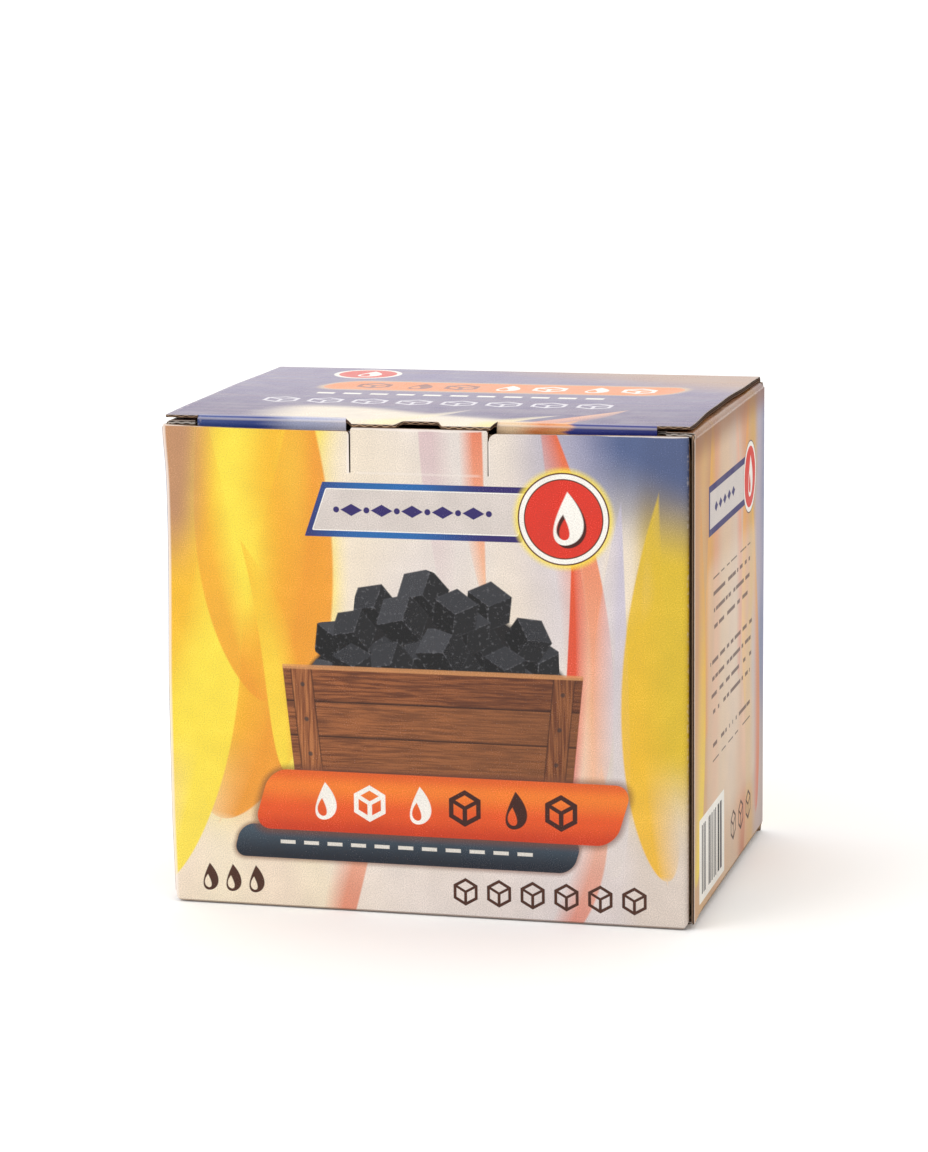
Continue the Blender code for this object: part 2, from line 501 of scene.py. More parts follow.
def buildFold(tree, given):
    # A tongue laid over a colour like a fold of silk: full at one edge (side 1 is to the right of its way
    # up, -1 to the left) and fading towards the other
    made = useGroup(tree, tongue, **{name: given[name] for name in tongueInputs.split()})
    shade = mixed(maths("MULTIPLY", made["Up"], 1.0, clamp=True), given["Low"], given["High"])
    across = made["Aside"] * given["Side"] / given["Width"]
    fade = maths("MULTIPLY_ADD", across, 2.4, 0.75, clamp=True)
    return {"Colour": mixed(made["Cover"] * fade * given["Strength"], given["Under"], shade)}


silkFold = makeGroup("silk fold", tongueInputs + " Under Low High Strength Side", "Colour", buildFold)


def lay(colour, point, tongues):
    # Lays silk folds over a colour, in order
    for root, tip, width, bend, soft, low, high, strength, side in tongues:
        colour = useGroup(
            point.tree, silkFold, Point=point, Under=colour, Low=low, High=high, Strength=strength, Side=side,
            **tongueSizes(root, tip, width, bend, soft),
        )["Colour"]
    return colour


def buildFlameMark(tree, given):
    # A plain flame mark one unit tall each way from its middle: a drop with a smaller one cut out of its foot
    sizes = tongueSizes((0, -1), (0.15, 1.05), 0.78, 0.16, 0.05)
    drop = useGroup(tree, tongue, Point=given["Point"], **sizes)
    sizes = tongueSizes((0.05, -0.8), (-0.02, 0.18), 0.34, -0.06, 0.05)
    hollow = useGroup(tree, tongue, Point=given["Point"], **sizes)
    return {"Cover": maths("SUBTRACT", drop["Cover"], hollow["Cover"], clamp=True)}


def buildCubeMark(tree, given):
    # A cube drawn in outline, one unit from its middle to each corner: a six-sided ring with three spokes
    x, z = parts(given["Point"])
    line = given["Line"]
    wide, tall = abs(x), abs(z)
    outline = highest(wide, wide * 0.5 + tall * 0.866) - 0.866
    ring = abs(outline + line / 2.0)
    spokes = lowest(abs(z - wide * 0.577), highest(wide, z))
    drawn = highest(lowest(ring, spokes) - line / 2.0, outline)
    return {"Cover": filled(drawn, 0.03)}


flameMark = makeGroup("flame mark", "Point", "Cover", buildFlameMark)
cubeMark = makeGroup("cube mark", "Point Line", "Cover", buildCubeMark)


def flameAt(point, centre, size):
    place = shaded(vectors("SUBTRACT", point, (*centre, 0.0)), 1.0 / size)
    return useGroup(point.tree, flameMark, Point=place)["Cover"]


def inRow(point, first, step, count):
    # Folds a row of marks onto its first one: the place about each mark's own middle, and 1 along the row
    x, z = parts(point)
    t = (x - first[0]) / step + 0.5
    local = (fraction(t) - 0.5) * step
    middle = (count - 1) / 2
    within = below(abs(t - 0.5 - middle), count / 2)
    return joined(local, z - first[1]), within


def flameRow(point, first, step, count, size):
    place, within = inRow(point, first, step, count)
    return useGroup(point.tree, flameMark, Point=shaded(place, 1.0 / size))["Cover"] * within


def cubeRow(point, first, step, count, size, line):
    place, within = inRow(point, first, step, count)
    made = useGroup(point.tree, cubeMark, Point=shaded(place, 1.0 / size), Line=line / size)
    return made["Cover"] * within


# Inks, named for what they are on the box
inks = {
    "yellow": (252, 226, 72), "gold": (246, 190, 48), "orange": (240, 156, 46), "olive": (222, 188, 50),
    "redOrange": (226, 84, 30), "red": (222, 52, 34), "peach": (244, 196, 160), "cream": (240, 226, 206),
    "pale": (228, 218, 212), "lavender": (196, 190, 212), "blue": (62, 86, 136), "navy": (50, 38, 104),
    "sky": (36, 104, 172), "stone": (216, 206, 200), "coal": (26, 24, 26), "brown": (92, 48, 30),
    # tan and sand are the side's inks, darker than the front's as painted shade
    "white": (250, 246, 238), "plank": (164, 98, 56), "plankDark": (104, 56, 32), "tan": (206, 152, 106),
    "sand": (224, 192, 160), "mauve": (186, 136, 108), "pink": (216, 184, 188),
}
inks = {name: ink(*shades) for name, shades in inks.items()}


def rings(colour, away, layers):
    # Fills an outline once for each (how far further in, its ink)
    return painted(colour, *((filled(away + inset), name) for inset, name in layers))


def briquettes(tree, given):
    # One layer of heaped cube briquettes. Each cell of a loose grid holds one cube, turned by its own angle:
    # a six-sided outline whose top, left and right faces have their own shades, with pale worn edges.
    point = shaded(vectors("ADD", given["Point"], given["Shift"]), given["Count"])
    inputs = {"Vector": point, "Scale": 1.0, "Randomness": 0.55}
    middle = added(tree, "TexVoronoi", inputs, "Position", voronoi_dimensions="2D")
    chance, other = parts(outputOf(middle, "Color"))
    inputs = {"Vector": vectors("SUBTRACT", point, middle), "Angle": (chance - 0.5) * 1.5}
    x, z = parts(added(tree, "VectorRotate", inputs, rotation_type="Z_AXIS"))
    size = 0.46 + other * 0.12
    wide = abs(x)
    tall = abs(z)
    outline = highest(wide, wide * 0.5 + tall * 0.866) - size * 0.866
    cover = filled(outline, 0.02)
    ridge = z - wide * 0.577
    onTop = filled(-1.0 * ridge, 0.02)
    onRight = filled(-1.0 * x, 0.02)
    face = mixed(onRight, (0.004, 0.004, 0.005, 1.0), (0.012, 0.012, 0.014, 1.0))
    topShade = mixed(other, (0.024, 0.025, 0.030, 1.0), (0.060, 0.062, 0.072, 1.0))
    face = mixed(onTop, face, topShade)
    nearRidge = filled(abs(ridge) - 0.012, 0.02)
    nearSpine = filled(wide - 0.010, 0.02) * (1.0 - onTop)
    nearRim = filled(abs(outline + 0.015) - 0.006, 0.02)
    worn = highest(highest(nearRidge, nearSpine), nearRim * 0.6)
    dust = given["Dust"]
    face = mixed(worn * ramped(dust, 0.35, 0.75) * 0.75, face, (0.13, 0.13, 0.145, 1.0))
    face = mixed(ramped(dust, 0.60, 0.82) * 0.4, face, (0.16, 0.16, 0.175, 1.0))
    place = vectors("SUBTRACT", shaded(middle, maths("DIVIDE", 1.0, given["Count"])), given["Shift"])
    px, pz = parts(place)
    rise = (px - given["Middle"]) / given["Reach"]
    roof = given["Base"] + given["Rise"] * (1.0 - rise * rise)
    inside = below(pz, roof) * above(pz, given["Base"] - 7.0)
    inside = inside * below(abs(px - given["Middle"]), given["Reach"] - 3.0)
    return {"Colour": mixed(cover * inside, given["Under"], face)}


layerInputs = "Point Under Shift Count Middle Reach Base Rise Dust"
briquetteLayer = makeGroup("briquette layer", layerInputs, "Colour", briquettes)
heap = {"middle": 3.0, "base": 60.0, "reach": 33.0, "rise": 27.0, "count": 1 / 12.5}
crate = {
    "left": -33.0, "right": 37.0, "low": 35.0, "high": 61.0, "planks": 3, "flare": 0.10,
    "batten": (4.6, 2.6),  # how far in from each end it stands, and half its width
}


def crateAndHeap(tree, given):
    # A printed picture: a plain plank crate with a heap of cube briquettes in it
    point, colour = given["Point"], given["Under"]
    middle = (crate["left"] + crate["right"]) / 2
    half = (crate["right"] - crate["left"]) / 2
    x, z = parts(point)
    flat = vectors("MULTIPLY", point, (0.34, 1.0, 0.0))
    shadow = discOf(flat, (middle * 0.34 + 0.6, crate["low"] + 0.2), 9.0)
    colour = mixed((1.0 - ramped(shadow, -7.0, 3.5)) * 0.42, colour, "brown")
    rise = (x - heap["middle"]) / heap["reach"]
    roof = heap["base"] + (1.0 - rise * rise) * (heap["rise"] - 7.5)
    dome = filled(z - roof, 1.5) * above(z, heap["base"] - 2.0)
    colour = mixed(dome, colour, "coal")
    dust = noiseOf(point, 0.9, 1.0, 0.8)
    for shiftX, shiftZ, drop in ((0.0, 0.0, 0.0), (5.2, 6.4, 3.0), (8.4, 2.1, 9.0)):
        layer = useGroup(
            tree, briquetteLayer, Point=point, Under=colour, Shift=(shiftX, shiftZ, 0.0),
            Count=heap["count"], Middle=heap["middle"], Reach=heap["reach"] - drop * 0.5,
            Base=heap["base"], Rise=heap["rise"] - drop, Dust=dust,
        )
        colour = layer["Colour"]
    # The front of the crate leans out a little towards its rim
    spread = (z - crate["low"]) * crate["flare"] + half
    fromMiddle = abs(x - middle)
    aside = fromMiddle - spread
    level = abs(z - (crate["low"] + crate["high"]) / 2) - (crate["high"] - crate["low"]) / 2
    front = filled(highest(aside, level), 0.2)
    height = (crate["high"] - crate["low"]) / crate["planks"]
    plankNumber = wholePart((z - crate["low"]) / height)
    within = (z - crate["low"]) / height - plankNumber
    grain = noiseOf(joined(x * 0.05 + plankNumber * 3.7, z * 0.9), 1.6, 2.0, 0.75)
    tone = noiseOf(joined(plankNumber * 2.3, x * 0.004), 1.0, 0.0, 0.5)
    wood = mixed(ramped(grain, 0.30, 0.72), "plankDark", "plank")
    wood = mixed(ramped(tone, 0.35, 0.65) * 0.35, wood, ink(196, 130, 78))
    # An upright batten near each end, with a nail in each plank
    battenIn, battenHalf = crate["batten"]
    fromBatten = fromMiddle - (spread - battenIn)
    besideBatten = abs(fromBatten) - battenHalf
    batten = filled(besideBatten, 0.2)
    upright = noiseOf(joined(x * 0.9, z * 0.05), 1.7, 1.0, 0.6)
    battenWood = mixed(ramped(upright, 0.3, 0.75), ink(126, 70, 40), ink(184, 116, 68))
    gapLine = (1.0 - ramped(within, 0.02, 0.09)) * (1.0 - batten)
    nail = filled(vectors("LENGTH", joined(fromBatten, (within - 0.5) * height)) - 0.55, 0.3)
    shade = ramped(x - middle, -half * 1.1, half * 1.3)
    wood = painted(
        wood, (batten, battenWood), (gapLine * 0.85, ink(44, 22, 14)),
        (filled(abs(besideBatten) - 0.15, 0.25) * 0.7, ink(50, 26, 16)), (nail * 0.8, ink(60, 54, 52)),
        (shade * 0.45, ink(66, 30, 18)),
    )
    rim = filled(abs(z - crate["high"]) - 0.55, 0.25) * filled(aside, 0.2)
    colour = mixed(front, colour, wood)
    return {"Colour": mixed(rim * 0.75, colour, ink(214, 150, 96))}


picture = makeGroup("crate picture", "Point Under", "Colour", crateAndHeap)
badge = {"centre": (35.0, 99.5), "radius": 11.2, "ring": 1.5, "line": 0.35}
strip = {"left": -27.0, "right": 27.0, "middle": 100.2, "half": 6.7, "border": 1.75, "slant": 0.35}
bands = {"slant": 0.30, "bright": (4.0, 27.5, 45.5, 7.6), "dark": (-5.0, 16.8, 43.0, 4.2)}


def slanted(point, centre, slant):
    # Leans a point back, so that an upright box drawn with it leans over
    x, z = parts(point)
    return joined(x - (z - centre) * slant, z)


def faceArt(tree, given):
    # The print of the front and the back, in mm from the middle of the panel's foot: a wash of flame colours,
    # then the picture, a badge with a strip, and two bands with plain marks
    point = given["Point"]
    x, z = parts(point)
    warp = noiseOf(point, 0.016, 1.0, 0.5)
    sway = sine(z * 0.035 + given["Phase"])
    across = (x + (warp - 0.5) * 34.0 + sway * 3.0) / 132.0 + 0.5
    colour = colourRamp(across, (
        (0.00, "gold"), (0.10, "yellow"), (0.21, "gold"), (0.29, "yellow"),
        (0.38, "cream"), (0.50, "pale"), (0.62, "cream"), (0.74, "pale"),
        (0.84, "cream"), (0.90, "olive"), (1.00, "olive"),
    ))
    # Towards the foot the wash pales to cream on the left and to a lavender haze on the right
    foot = 1.0 - ramped(z + (warp - 0.5) * 40.0, 8.0, 52.0)
    footInk = mixed(ramped(x, -30.0, 45.0), ink(244, 232, 220), ink(224, 214, 214))
    colour = mixed(foot * 0.85, colour, footInk)
    # Blue comes down from the upper right corner
    down = ramped(z + (warp - 0.5) * 30.0, 84.0, 112.0) * ramped(x, 18.0, 44.0)
    colour = mixed(down * 0.95, colour, "blue")
    haze = ramped(z, 50.0, 100.0) * ramped(x, 16.0, 30.0) * (1.0 - ramped(x, 36.0, 50.0))
    colour = mixed(haze * 0.5, colour, "lavender")
    colour = lay(colour, point, (
        ((-52, 22), (-30, 134), 17.0, 7.0, 0.6, "orange", "orange", 0.95, 1),
        ((-70, 4), (-50, 116), 13.0, 5.0, 0.4, "yellow", "yellow", 0.95, 1),
        ((-40, 52), (-54, 128), 8.0, -5.0, 0.4, "orange", "gold", 0.85, -1),
        ((-34, 34), (-46, 92), 7.0, 4.0, 0.3, "yellow", "gold", 0.9, -1),
        ((2, 134), (6, 72), 6.0, -1.0, 0.4, "pink", "pale", 0.95, 1),
        ((12, 136), (16, 76), 4.4, 1.5, 0.4, "redOrange", "peach", 0.95, -1),
        ((40, 26), (28, 132), 9.0, 5.0, 0.4, "peach", "redOrange", 1.0, 1),
        ((36, 30), (37, 98), 4.2, 2.0, 0.3, "red", "redOrange", 0.95, -1),
        ((47, 12), (49, 104), 7.0, -2.0, 0.4, "pale", "lavender", 0.95, 1),
        ((60, 12), (58, 106), 9.0, -4.0, 0.5, "gold", "olive", 0.95, -1),
        ((-24, -10), (-8, 36), 6.5, -3.0, 0.4, "redOrange", "peach", 0.8, 1),
        ((32, -6), (44, 40), 6.0, 3.0, 0.5, "redOrange", "peach", 0.7, 1),
    ))
    corner = ramped(z, 78.0, 100.0) * (1.0 - ramped(x - (z - 100.0) * 0.15, -63.0, -52.0))
    colour = mixed(corner * 0.9, colour, "mauve")
    colour = useGroup(tree, picture, Point=point, Under=colour)["Colour"]
    # The strip: pale, with blue borders above and below that run from navy to sky and back
    lean = slanted(point, strip["middle"], strip["slant"])
    centre = ((strip["left"] + strip["right"]) / 2, strip["middle"], 0.0)
    halfLength = (strip["right"] - strip["left"]) / 2
    whole = slabOf(lean, centre, (halfLength, strip["half"]), 0.2)
    inner = slabOf(lean, centre, (halfLength - strip["border"] * 0.9, strip["half"] - strip["border"]), 0.2)
    shine = ramped(abs(x + 8.0), 4.0, 26.0)
    border = mixed(shine, "sky", "navy")
    colour = painted(
        colour, (filled(whole), border), (filled(inner - 0.25), "white"), (filled(inner), "stone"),
    )
    # A plain row of lozenges and dots in the strip
    beat = beatOf(x, 7.6, 0.8)
    level = abs(z - strip["middle"])
    lozenge = beat * 0.55 + level - 1.5
    dot = vectors("LENGTH", joined(beat - 3.8, level)) - 0.75
    row = highest(lowest(lozenge, dot), abs(x + 2.28) - 19.8)
    colour = mixed(filled(row, 0.15), colour, "navy")
    # The badge: a red disc in a white ring, with a plain flame
    away = discOf(point, badge["centre"], badge["radius"])
    colour = mixed((1.0 - ramped(away, 0.0, 1.8)) * 0.8, colour, "yellow")
    ring = badge["ring"]
    layers = ((0.0, "brown"), (badge["line"], "white"), (ring, "brown"), (ring + 0.3, "red"))
    colour = rings(colour, away, layers)
    cx, cz = badge["centre"]
    colour = mixed(flameAt(point, (cx + 0.7, cz - 0.7), 6.3), colour, ink(70, 22, 14))
    colour = mixed(flameAt(point, (cx, cz), 6.3), colour, "white")
    # The two bands lean, the dark one under the bright one
    for label, glow in (("dark", 1.4), ("bright", 2.2)):
        bandX, bandZ, halfX, halfZ = bands[label]
        lean = slanted(point, bandZ, bands["slant"])
        bandAway = slabOf(lean, (bandX, bandZ, 0.0), (halfX, halfZ), min(halfZ * 0.8, 4.5))
        colour = mixed((1.0 - ramped(bandAway, -0.2, glow)) * 0.7, colour, ink(120, 70, 48))
        if label == "dark":
            fill = mixed(ramped(z, bandZ - halfZ, bandZ + halfZ), ink(30, 36, 48), ink(66, 82, 96))
        else:
            fill = colourRamp((z - bandZ + halfZ) / (2 * halfZ), (
                (0.0, ink(206, 62, 26)), (0.35, ink(232, 88, 34)), (0.75, ink(246, 128, 44)),
                (1.0, ink(226, 96, 36)),
            ))
        colour = mixed(filled(bandAway), colour, fill)
    brightX, brightZ, _, _ = bands["bright"]
    markInk = mixed(above(x, brightX), "white", ink(64, 28, 20))
    flames = flameRow(point, (brightX - 30.0, brightZ), 24.0, 3, 4.6)
    cubes = cubeRow(point, (brightX - 18.0, brightZ), 24.0, 3, 4.6, 1.15)
    colour = mixed(highest(flames, cubes), colour, markInk)
    darkX, darkZ, _, _ = bands["dark"]
    beat = beatOf(x - darkX, 6.0, 0.5)
    dash = highest(beat - 1.9, abs(z - darkZ) - 0.45)
    dash = highest(dash, abs(x - darkX) - 33.0)
    colour = mixed(filled(dash), colour, ink(226, 222, 214))
    # A dark brown line along the very foot: painted shade for the underside of the bottom crease and its
    # contact shadow
    colour = mixed(filled(z - 0.7, 0.2) * 0.7, colour, ink(110, 80, 62))
    # A row of drawn cubes at the foot, to the right, and small flames to the left
    cubes = cubeRow(point, (10.0, 6.6), 8.4, 6, 3.5, 0.75)
    flames = flameRow(point, (-56.0, 6.8), 6.0, 3, 3.4)
    colour = mixed(highest(cubes, flames), colour, ink(76, 44, 32))
    return {"Colour": colour}


panelArt = makeGroup("panel art", "Point Phase", "Colour", faceArt)


def sideArt(tree, given):
    # The print of a side: the same wash in darker, browner inks, as painted shade for a side turned from the
    # key light, a small badge and strip, ruled lines and a block of bars
    point = given["Point"]
    x, z = parts(point)
    warp = noiseOf(point, 0.018, 1.0, 0.5)
    across = (x + (warp - 0.5) * 22.0) / 100.0 + 0.5
    # Darker and browner than the front's wash: painted shade of the whole side
    colour = colourRamp(across, (
        (0.00, "tan"), (0.10, ink(216, 170, 112)), (0.22, "tan"), (0.30, ink(222, 164, 126)),
        (0.42, "sand"), (0.55, ink(222, 196, 176)), (0.66, ink(220, 160, 122)),
        (0.76, ink(218, 170, 92)), (0.86, ink(184, 172, 184)), (1.00, ink(126, 136, 170)),
    ))
    foot = 1.0 - ramped(z + (warp - 0.5) * 30.0, 10.0, 70.0)
    colour = mixed(foot * 0.5, colour, "sand")
    colour = lay(colour, point, (
        ((-34, 44), (-26, 128), 9.0, 3.0, 0.8, ink(230, 150, 78), "gold", 0.65, -1),
        ((-47, 10), (-42, 104), 9.0, 4.0, 0.8, "yellow", ink(222, 150, 80), 0.85, 1),
        ((12, 50), (4, 130), 6.0, 3.0, 0.6, "redOrange", "peach", 0.6, 1),
        ((22, 40), (26, 128), 6.0, -3.0, 0.8, "gold", "orange", 0.6, -1),
        ((38, 8), (30, 96), 7.0, 3.0, 0.8, "redOrange", "gold", 0.65, 1),
        ((10, -8), (18, 46), 8.0, 3.0, 0.6, ink(190, 98, 74), "peach", 0.7, 1),
    ))
    pale = slabOf(point, (2.0, 52.0, 0.0), (33.0, 32.0), 3.0)
    colour = mixed((1.0 - ramped(pale, -2.0, 5.0)) * 0.35, colour, "cream")
    # Darker orange-brown towards the top: painted shadow under the lid's overhang, which also runs onto the
    # dust flap's fold
    colour = mixed(ramped(z, 111.0, 119.0) * 0.75, colour, ink(140, 86, 46))
    centre = (-4.0, 99.0, 0.0)
    whole = slabOf(point, centre, (27.0, 6.2), 0.2)
    inner = slabOf(point, centre, (25.4, 4.5), 0.2)
    colour = mixed(filled(whole), colour, "navy")
    colour = mixed(filled(inner), colour, "stone")
    lozenge = beatOf(x, 6.0) * 0.55 + abs(z - 99.0) - 1.3
    colour = mixed(filled(highest(lozenge, abs(x + 8.0) - 14.8)), colour, "navy")
    colour = rings(colour, discOf(point, (27.0, 99.0), 9.4), ((0.0, "brown"), (0.3, "white"), (1.5, "red")))
    colour = mixed(flameAt(point, (27.0, 99.0), 5.2), colour, "white")
    # Ruled lines, broken into short lengths
    row = wholePart(z / 4.2)
    rowZ = abs(z / 4.2 - row - 0.5) * 4.2
    pieces = noiseOf(joined(x * 0.22, row * 7.3), 1.0, 0.0, 0.5)
    ends = noiseOf(joined(row * 3.1, 5.0), 1.0, 0.0, 0.5)
    rule = highest(rowZ - 0.5, (0.40 - pieces) * 9.0)
    rule = highest(rule, abs(x - 2.0) - (22.0 + ends * 10.0))
    rule = highest(rule, abs(z - 58.8) - 23.0)
    every = abs(fraction(row / 5.0 + 0.01) - 0.5) - 0.42
    rule = highest(rule, every * 20.0)
    colour = mixed(filled(rule, 0.2) * 0.85, colour, ink(92, 62, 58))
    # A block of bars on a pale ground
    block = slabOf(point, (-26.0, 15.0, 0.0), (17.0, 10.5), 0.6)
    colour = mixed(filled(block), colour, "white")
    bar = noiseOf(joined(wholePart(x / 0.55) * 1.37, 2.0), 1.0, 0.0, 0.5)
    bars = highest((bar - 0.5) * 8.0, slabOf(point, (-26.0, 15.0, 0.0), (15.0, 8.6), 0.1))
    colour = mixed(filled(bars), colour, ink(44, 34, 40))
    colour = mixed(cubeRow(point, (4.0, 13.0), 11.0, 3, 4.0, 0.7), colour, ink(84, 46, 34))
    return {"Colour": colour}


sidePanelArt = makeGroup("side art", "Point", "Colour", sideArt)


def lidArt(tree, given):
    # The print of the lid, in mm from the middle of its front crease: deep blue print with a painted
    # reflection laid into it, paler towards the back, a pale flame coming up from the front, a long bright
    # band and rows of drawn marks
    point = given["Point"]
    x, y = parts(point)
    warp = noiseOf(point, 0.02, 1.0, 0.5)
    # Greyish blue paling to lavender towards the back, with lavender streaks: the deep blue print, partly
    # lifted by a painted reflection
    colour = mixed(ramped(y + (warp - 0.5) * 30.0, 0.0, 80.0), ink(84, 66, 118), ink(130, 120, 158))
    streaks = noiseOf(joined(x * 0.25, y * 3.6), 0.09, 2.0, 0.7)
    colour = mixed(ramped(streaks, 0.35, 0.7) * 0.45, colour, ink(146, 124, 142))
    hump = sine((x + 66.0) * 0.042 + (warp - 0.5) * 2.0)
    wave = y - 6.0 - hump * 13.0 - (warp - 0.5) * 14.0
    aside = abs(x + 2.0) - 40.0
    pale = (1.0 - ramped(wave, -3.0, 6.0)) * (1.0 - ramped(aside, -10.0, 8.0))
    colour = mixed(pale, colour, "cream")
    colour = lay(colour, point, (
        ((-30, -16), (6, 20), 6.0, 3.0, 1.0, ink(250, 232, 150), "cream", 0.8, 1),
        ((14, -20), (44, 26), 7.0, 3.0, 0.8, "redOrange", "peach", 0.85, -1),
        ((4, -18), (30, 14), 5.4, -2.0, 0.8, "yellow", "cream", 0.85, 1),
        ((26, -22), (36, 6), 5.0, 1.0, 0.6, "redOrange", "orange", 0.9, -1),
    ))
    haze = ramped(x * 0.5 + y, 82.0, 112.0)
    colour = mixed(haze * 0.75, colour, ink(196, 156, 118))
    lean = slanted(point, 62.0, 0.3)
    band = slabOf(lean, (4.0, 62.0, 0.0), (46.0, 8.0), 7.0)
    colour = mixed((1.0 - ramped(band, -0.5, 2.6)) * 0.8, colour, ink(236, 200, 150))
    colour = mixed(filled(band), colour, ink(240, 140, 70))
    flames = flameRow(point, (-18.4, 62.0), 23.2, 3, 5.0)
    cubes = cubeRow(point, (-30.0, 62.0), 23.2, 4, 5.0, 1.2)
    markInk = mixed(above(x, -1.0), ink(150, 70, 50), "white")
    colour = mixed(highest(flames, cubes), colour, markInk)
    dash = highest(highest(beatOf(x, 7.0) - 2.3, abs(y - 46.0) - 1.2), abs(x + 3.5) - 38.0)
    colour = mixed(filled(dash, 0.3), colour, "white")
    colour = mixed(cubeRow(point, (-46.0, 32.0), 11.5, 8, 5.0, 0.9), colour, ink(226, 222, 232))
    colour = rings(colour, discOf(point, (-38.0, 84.0), 9.0), ((0.0, "white"), (1.3, "red")))
    colour = mixed(flameAt(point, (-38.0, 84.0), 5.0), colour, "white")
    return {"Colour": colour}


topArt = makeGroup("lid art", "Point", "Colour", lidArt)


# Materials

def newLook(name):
    look = bpy.data.materials.new(name)
    look.use_nodes = True
    return look, look.node_tree, look.node_tree.nodes["Principled BSDF"]


def sheetPoint(tree):
    # The place on the flat sheet, in mm
    return shaded(added(tree, "UVMap", {}, uv_map="sheet"), 1000.0)


def bumped(tree, shader, height, depth):
    plug(added(tree, "Bump", {"Distance": depth, "Height": height}), shader.inputs["Normal"])


def printedLook(name, art, half, low, high, rim=0.0, cuts=(), creases=(), ends=(), shine=None):
    # A printed face: the art, grained like a screen print, rubbed pale along its creases and cut edges.
    # rim is how wide the white of the paper shows along the top edge. cuts are slabs (middle, half size,
    # corner) whose outline shows white in the same way above the first crease. creases are pressed lines,
    # each (height, left end, right end), paled partly as pressed paper and partly as a painted highlight on
    # the ridge. ends are pale lines down the panel, each (place, half width, strength): rubbed paper, and on
    # the front's left crease also a painted highlight. All are in mm. shine is the face's own roughness and
    # gloss, where it differs from the rest.
    look, tree, shader = newLook(name)
    point = sheetPoint(tree)
    colour = art(tree, point)
    x, z = parts(point)
    roughness, gloss = shine or (finish["roughness"], finish["gloss"])
    coat = useGroup(tree, paper, Point=point, Flutes=finish["flutes"], Roughness=roughness)
    aside = half - abs(x)
    level = (high - low) / 2 - abs(z - (high + low) / 2)
    edge = lowest(aside, level)
    rubbedAndHighlight = useGroup(tree, rubbed, Point=point, Distance=edge, Reach=0.4, Strength=0.3)["Amount"]
    if rim:
        edge = rim * (coat["Mottle"] * 2.2 + 1.0)
        white = 1.0 - ramped((high - z) / edge, 0.7, 1.15)
        for middle, size, corner in cuts:
            within = ramped(z, creases[0][0] - 0.3, creases[0][0])
            outside = slabOf(point, middle, size, corner)
            line = ramped(outside + edge, -0.12, 0.1) * (1.0 - ramped(outside, 0.02, 0.1)) * within
            white = highest(white, line)
        rubbedAndHighlight = highest(rubbedAndHighlight, white * 0.75)
    # Pale lines down the panel: rubbed paper, and on the front's left crease also a painted highlight
    for place, wide, strength in ends:
        rubbedAndHighlight = highest(rubbedAndHighlight, (1.0 - ramped(abs(x - place), wide * 0.5, wide)) * strength)
    height = coat["Height"]
    # Pressed lines: raised in the relief and paled, partly pressed paper and partly a painted highlight on
    # the ridge
    for creaseZ, left, right in creases:
        across = abs(z - creaseZ)
        line = (1.0 - ramped(across, 0.05, 0.55)) * ramped(x, left, left + 2.0)
        line = line * (1.0 - ramped(x, right - 2.0, right))
        height = height + line * 1.2
        rubbedAndHighlight = highest(rubbedAndHighlight, line * 0.35)
    tone = coat["Grain"] * finish["grain"] + coat["Mottle"] * finish["mottle"] + finish["tone"]
    colour = shaded(colour, tone)
    colour = mixed(highest(coat["Specks"] * 0.12, rubbedAndHighlight), colour, ink(240, 230, 222))
    plug(colour, shader.inputs["Base Color"])
    plug(coat["Roughness"] + rubbedAndHighlight * 0.3, shader.inputs["Roughness"])
    shader.inputs["Specular IOR Level"].default_value = gloss
    bumped(tree, shader, height, finish["relief"])
    return look


def linerLook(name, colour, dark):
    # The inner face: recycled grey-brown paper with fibres, and the flutes showing faintly as stripes
    look, tree, shader = newLook(name)
    point = sheetPoint(tree)
    x, z = parts(point)
    coat = useGroup(tree, paper, Point=point, Flutes=0.9, Roughness=0.85)
    fibres = noiseOf(joined(x * 0.35, z * 1.1), 1.7, 4.0, 0.7)
    flecks = ramped(noiseOf(point, 1.3, 3.0, 0.6), 0.66, 0.72)
    stripe = sine(x * (2 * math.pi / fluteStep)) * 0.04
    shade = mixed(ramped(fibres, 0.25, 0.75), ink(*dark), ink(*colour))
    shade = mixed(flecks * 0.35, shade, ink(84, 66, 50))
    shade = shaded(shade, stripe + coat["Mottle"] * 0.4 + 1.0)
    plug(shade, shader.inputs["Base Color"])
    plug(coat["Roughness"], shader.inputs["Roughness"])
    shader.inputs["Specular IOR Level"].default_value = 0.25
    bumped(tree, shader, coat["Height"], 0.00008)
    return look


def buildEdge(tree, given):
    # The cut edge of fluted board: two liners, and the wavy layer between them, with the hollows beside it
    # painted near black as painted shade inside the flutes
    along, depth = parts(given["Point"])
    board = carton["board"] / mm
    torn = noiseOf(given["Point"], 1.9, 3.0, 0.6)
    liners = filled(lowest(depth, board - depth) - 0.20 - (torn - 0.5) * 0.12, 0.10)
    wave = sine(along * (2 * math.pi / fluteStep)) * given["Swing"] + board / 2
    middle = filled(abs(depth - wave) - given["Thick"] * (0.6 + torn * 0.8), 0.12)
    solid = highest(liners, middle)
    # Near black between the liners and the wavy layer: painted shade in the hollows
    colour = mixed(solid, ink(40, 25, 19), mixed(liners, given["Wave"], ink(136, 104, 80)))
    colour = mixed(filled(depth - 0.22 - (torn - 0.5) * 0.2, 0.12) * 0.85, colour, ink(206, 194, 184))
    colour = mixed(ramped(torn, 0.58, 0.78) * 0.3, colour, ink(176, 148, 124))
    return {"Colour": colour, "Height": solid + torn * 0.4}


cutEdge = makeGroup("cut edge", "Point Swing Thick Wave", "Colour Height", buildEdge)


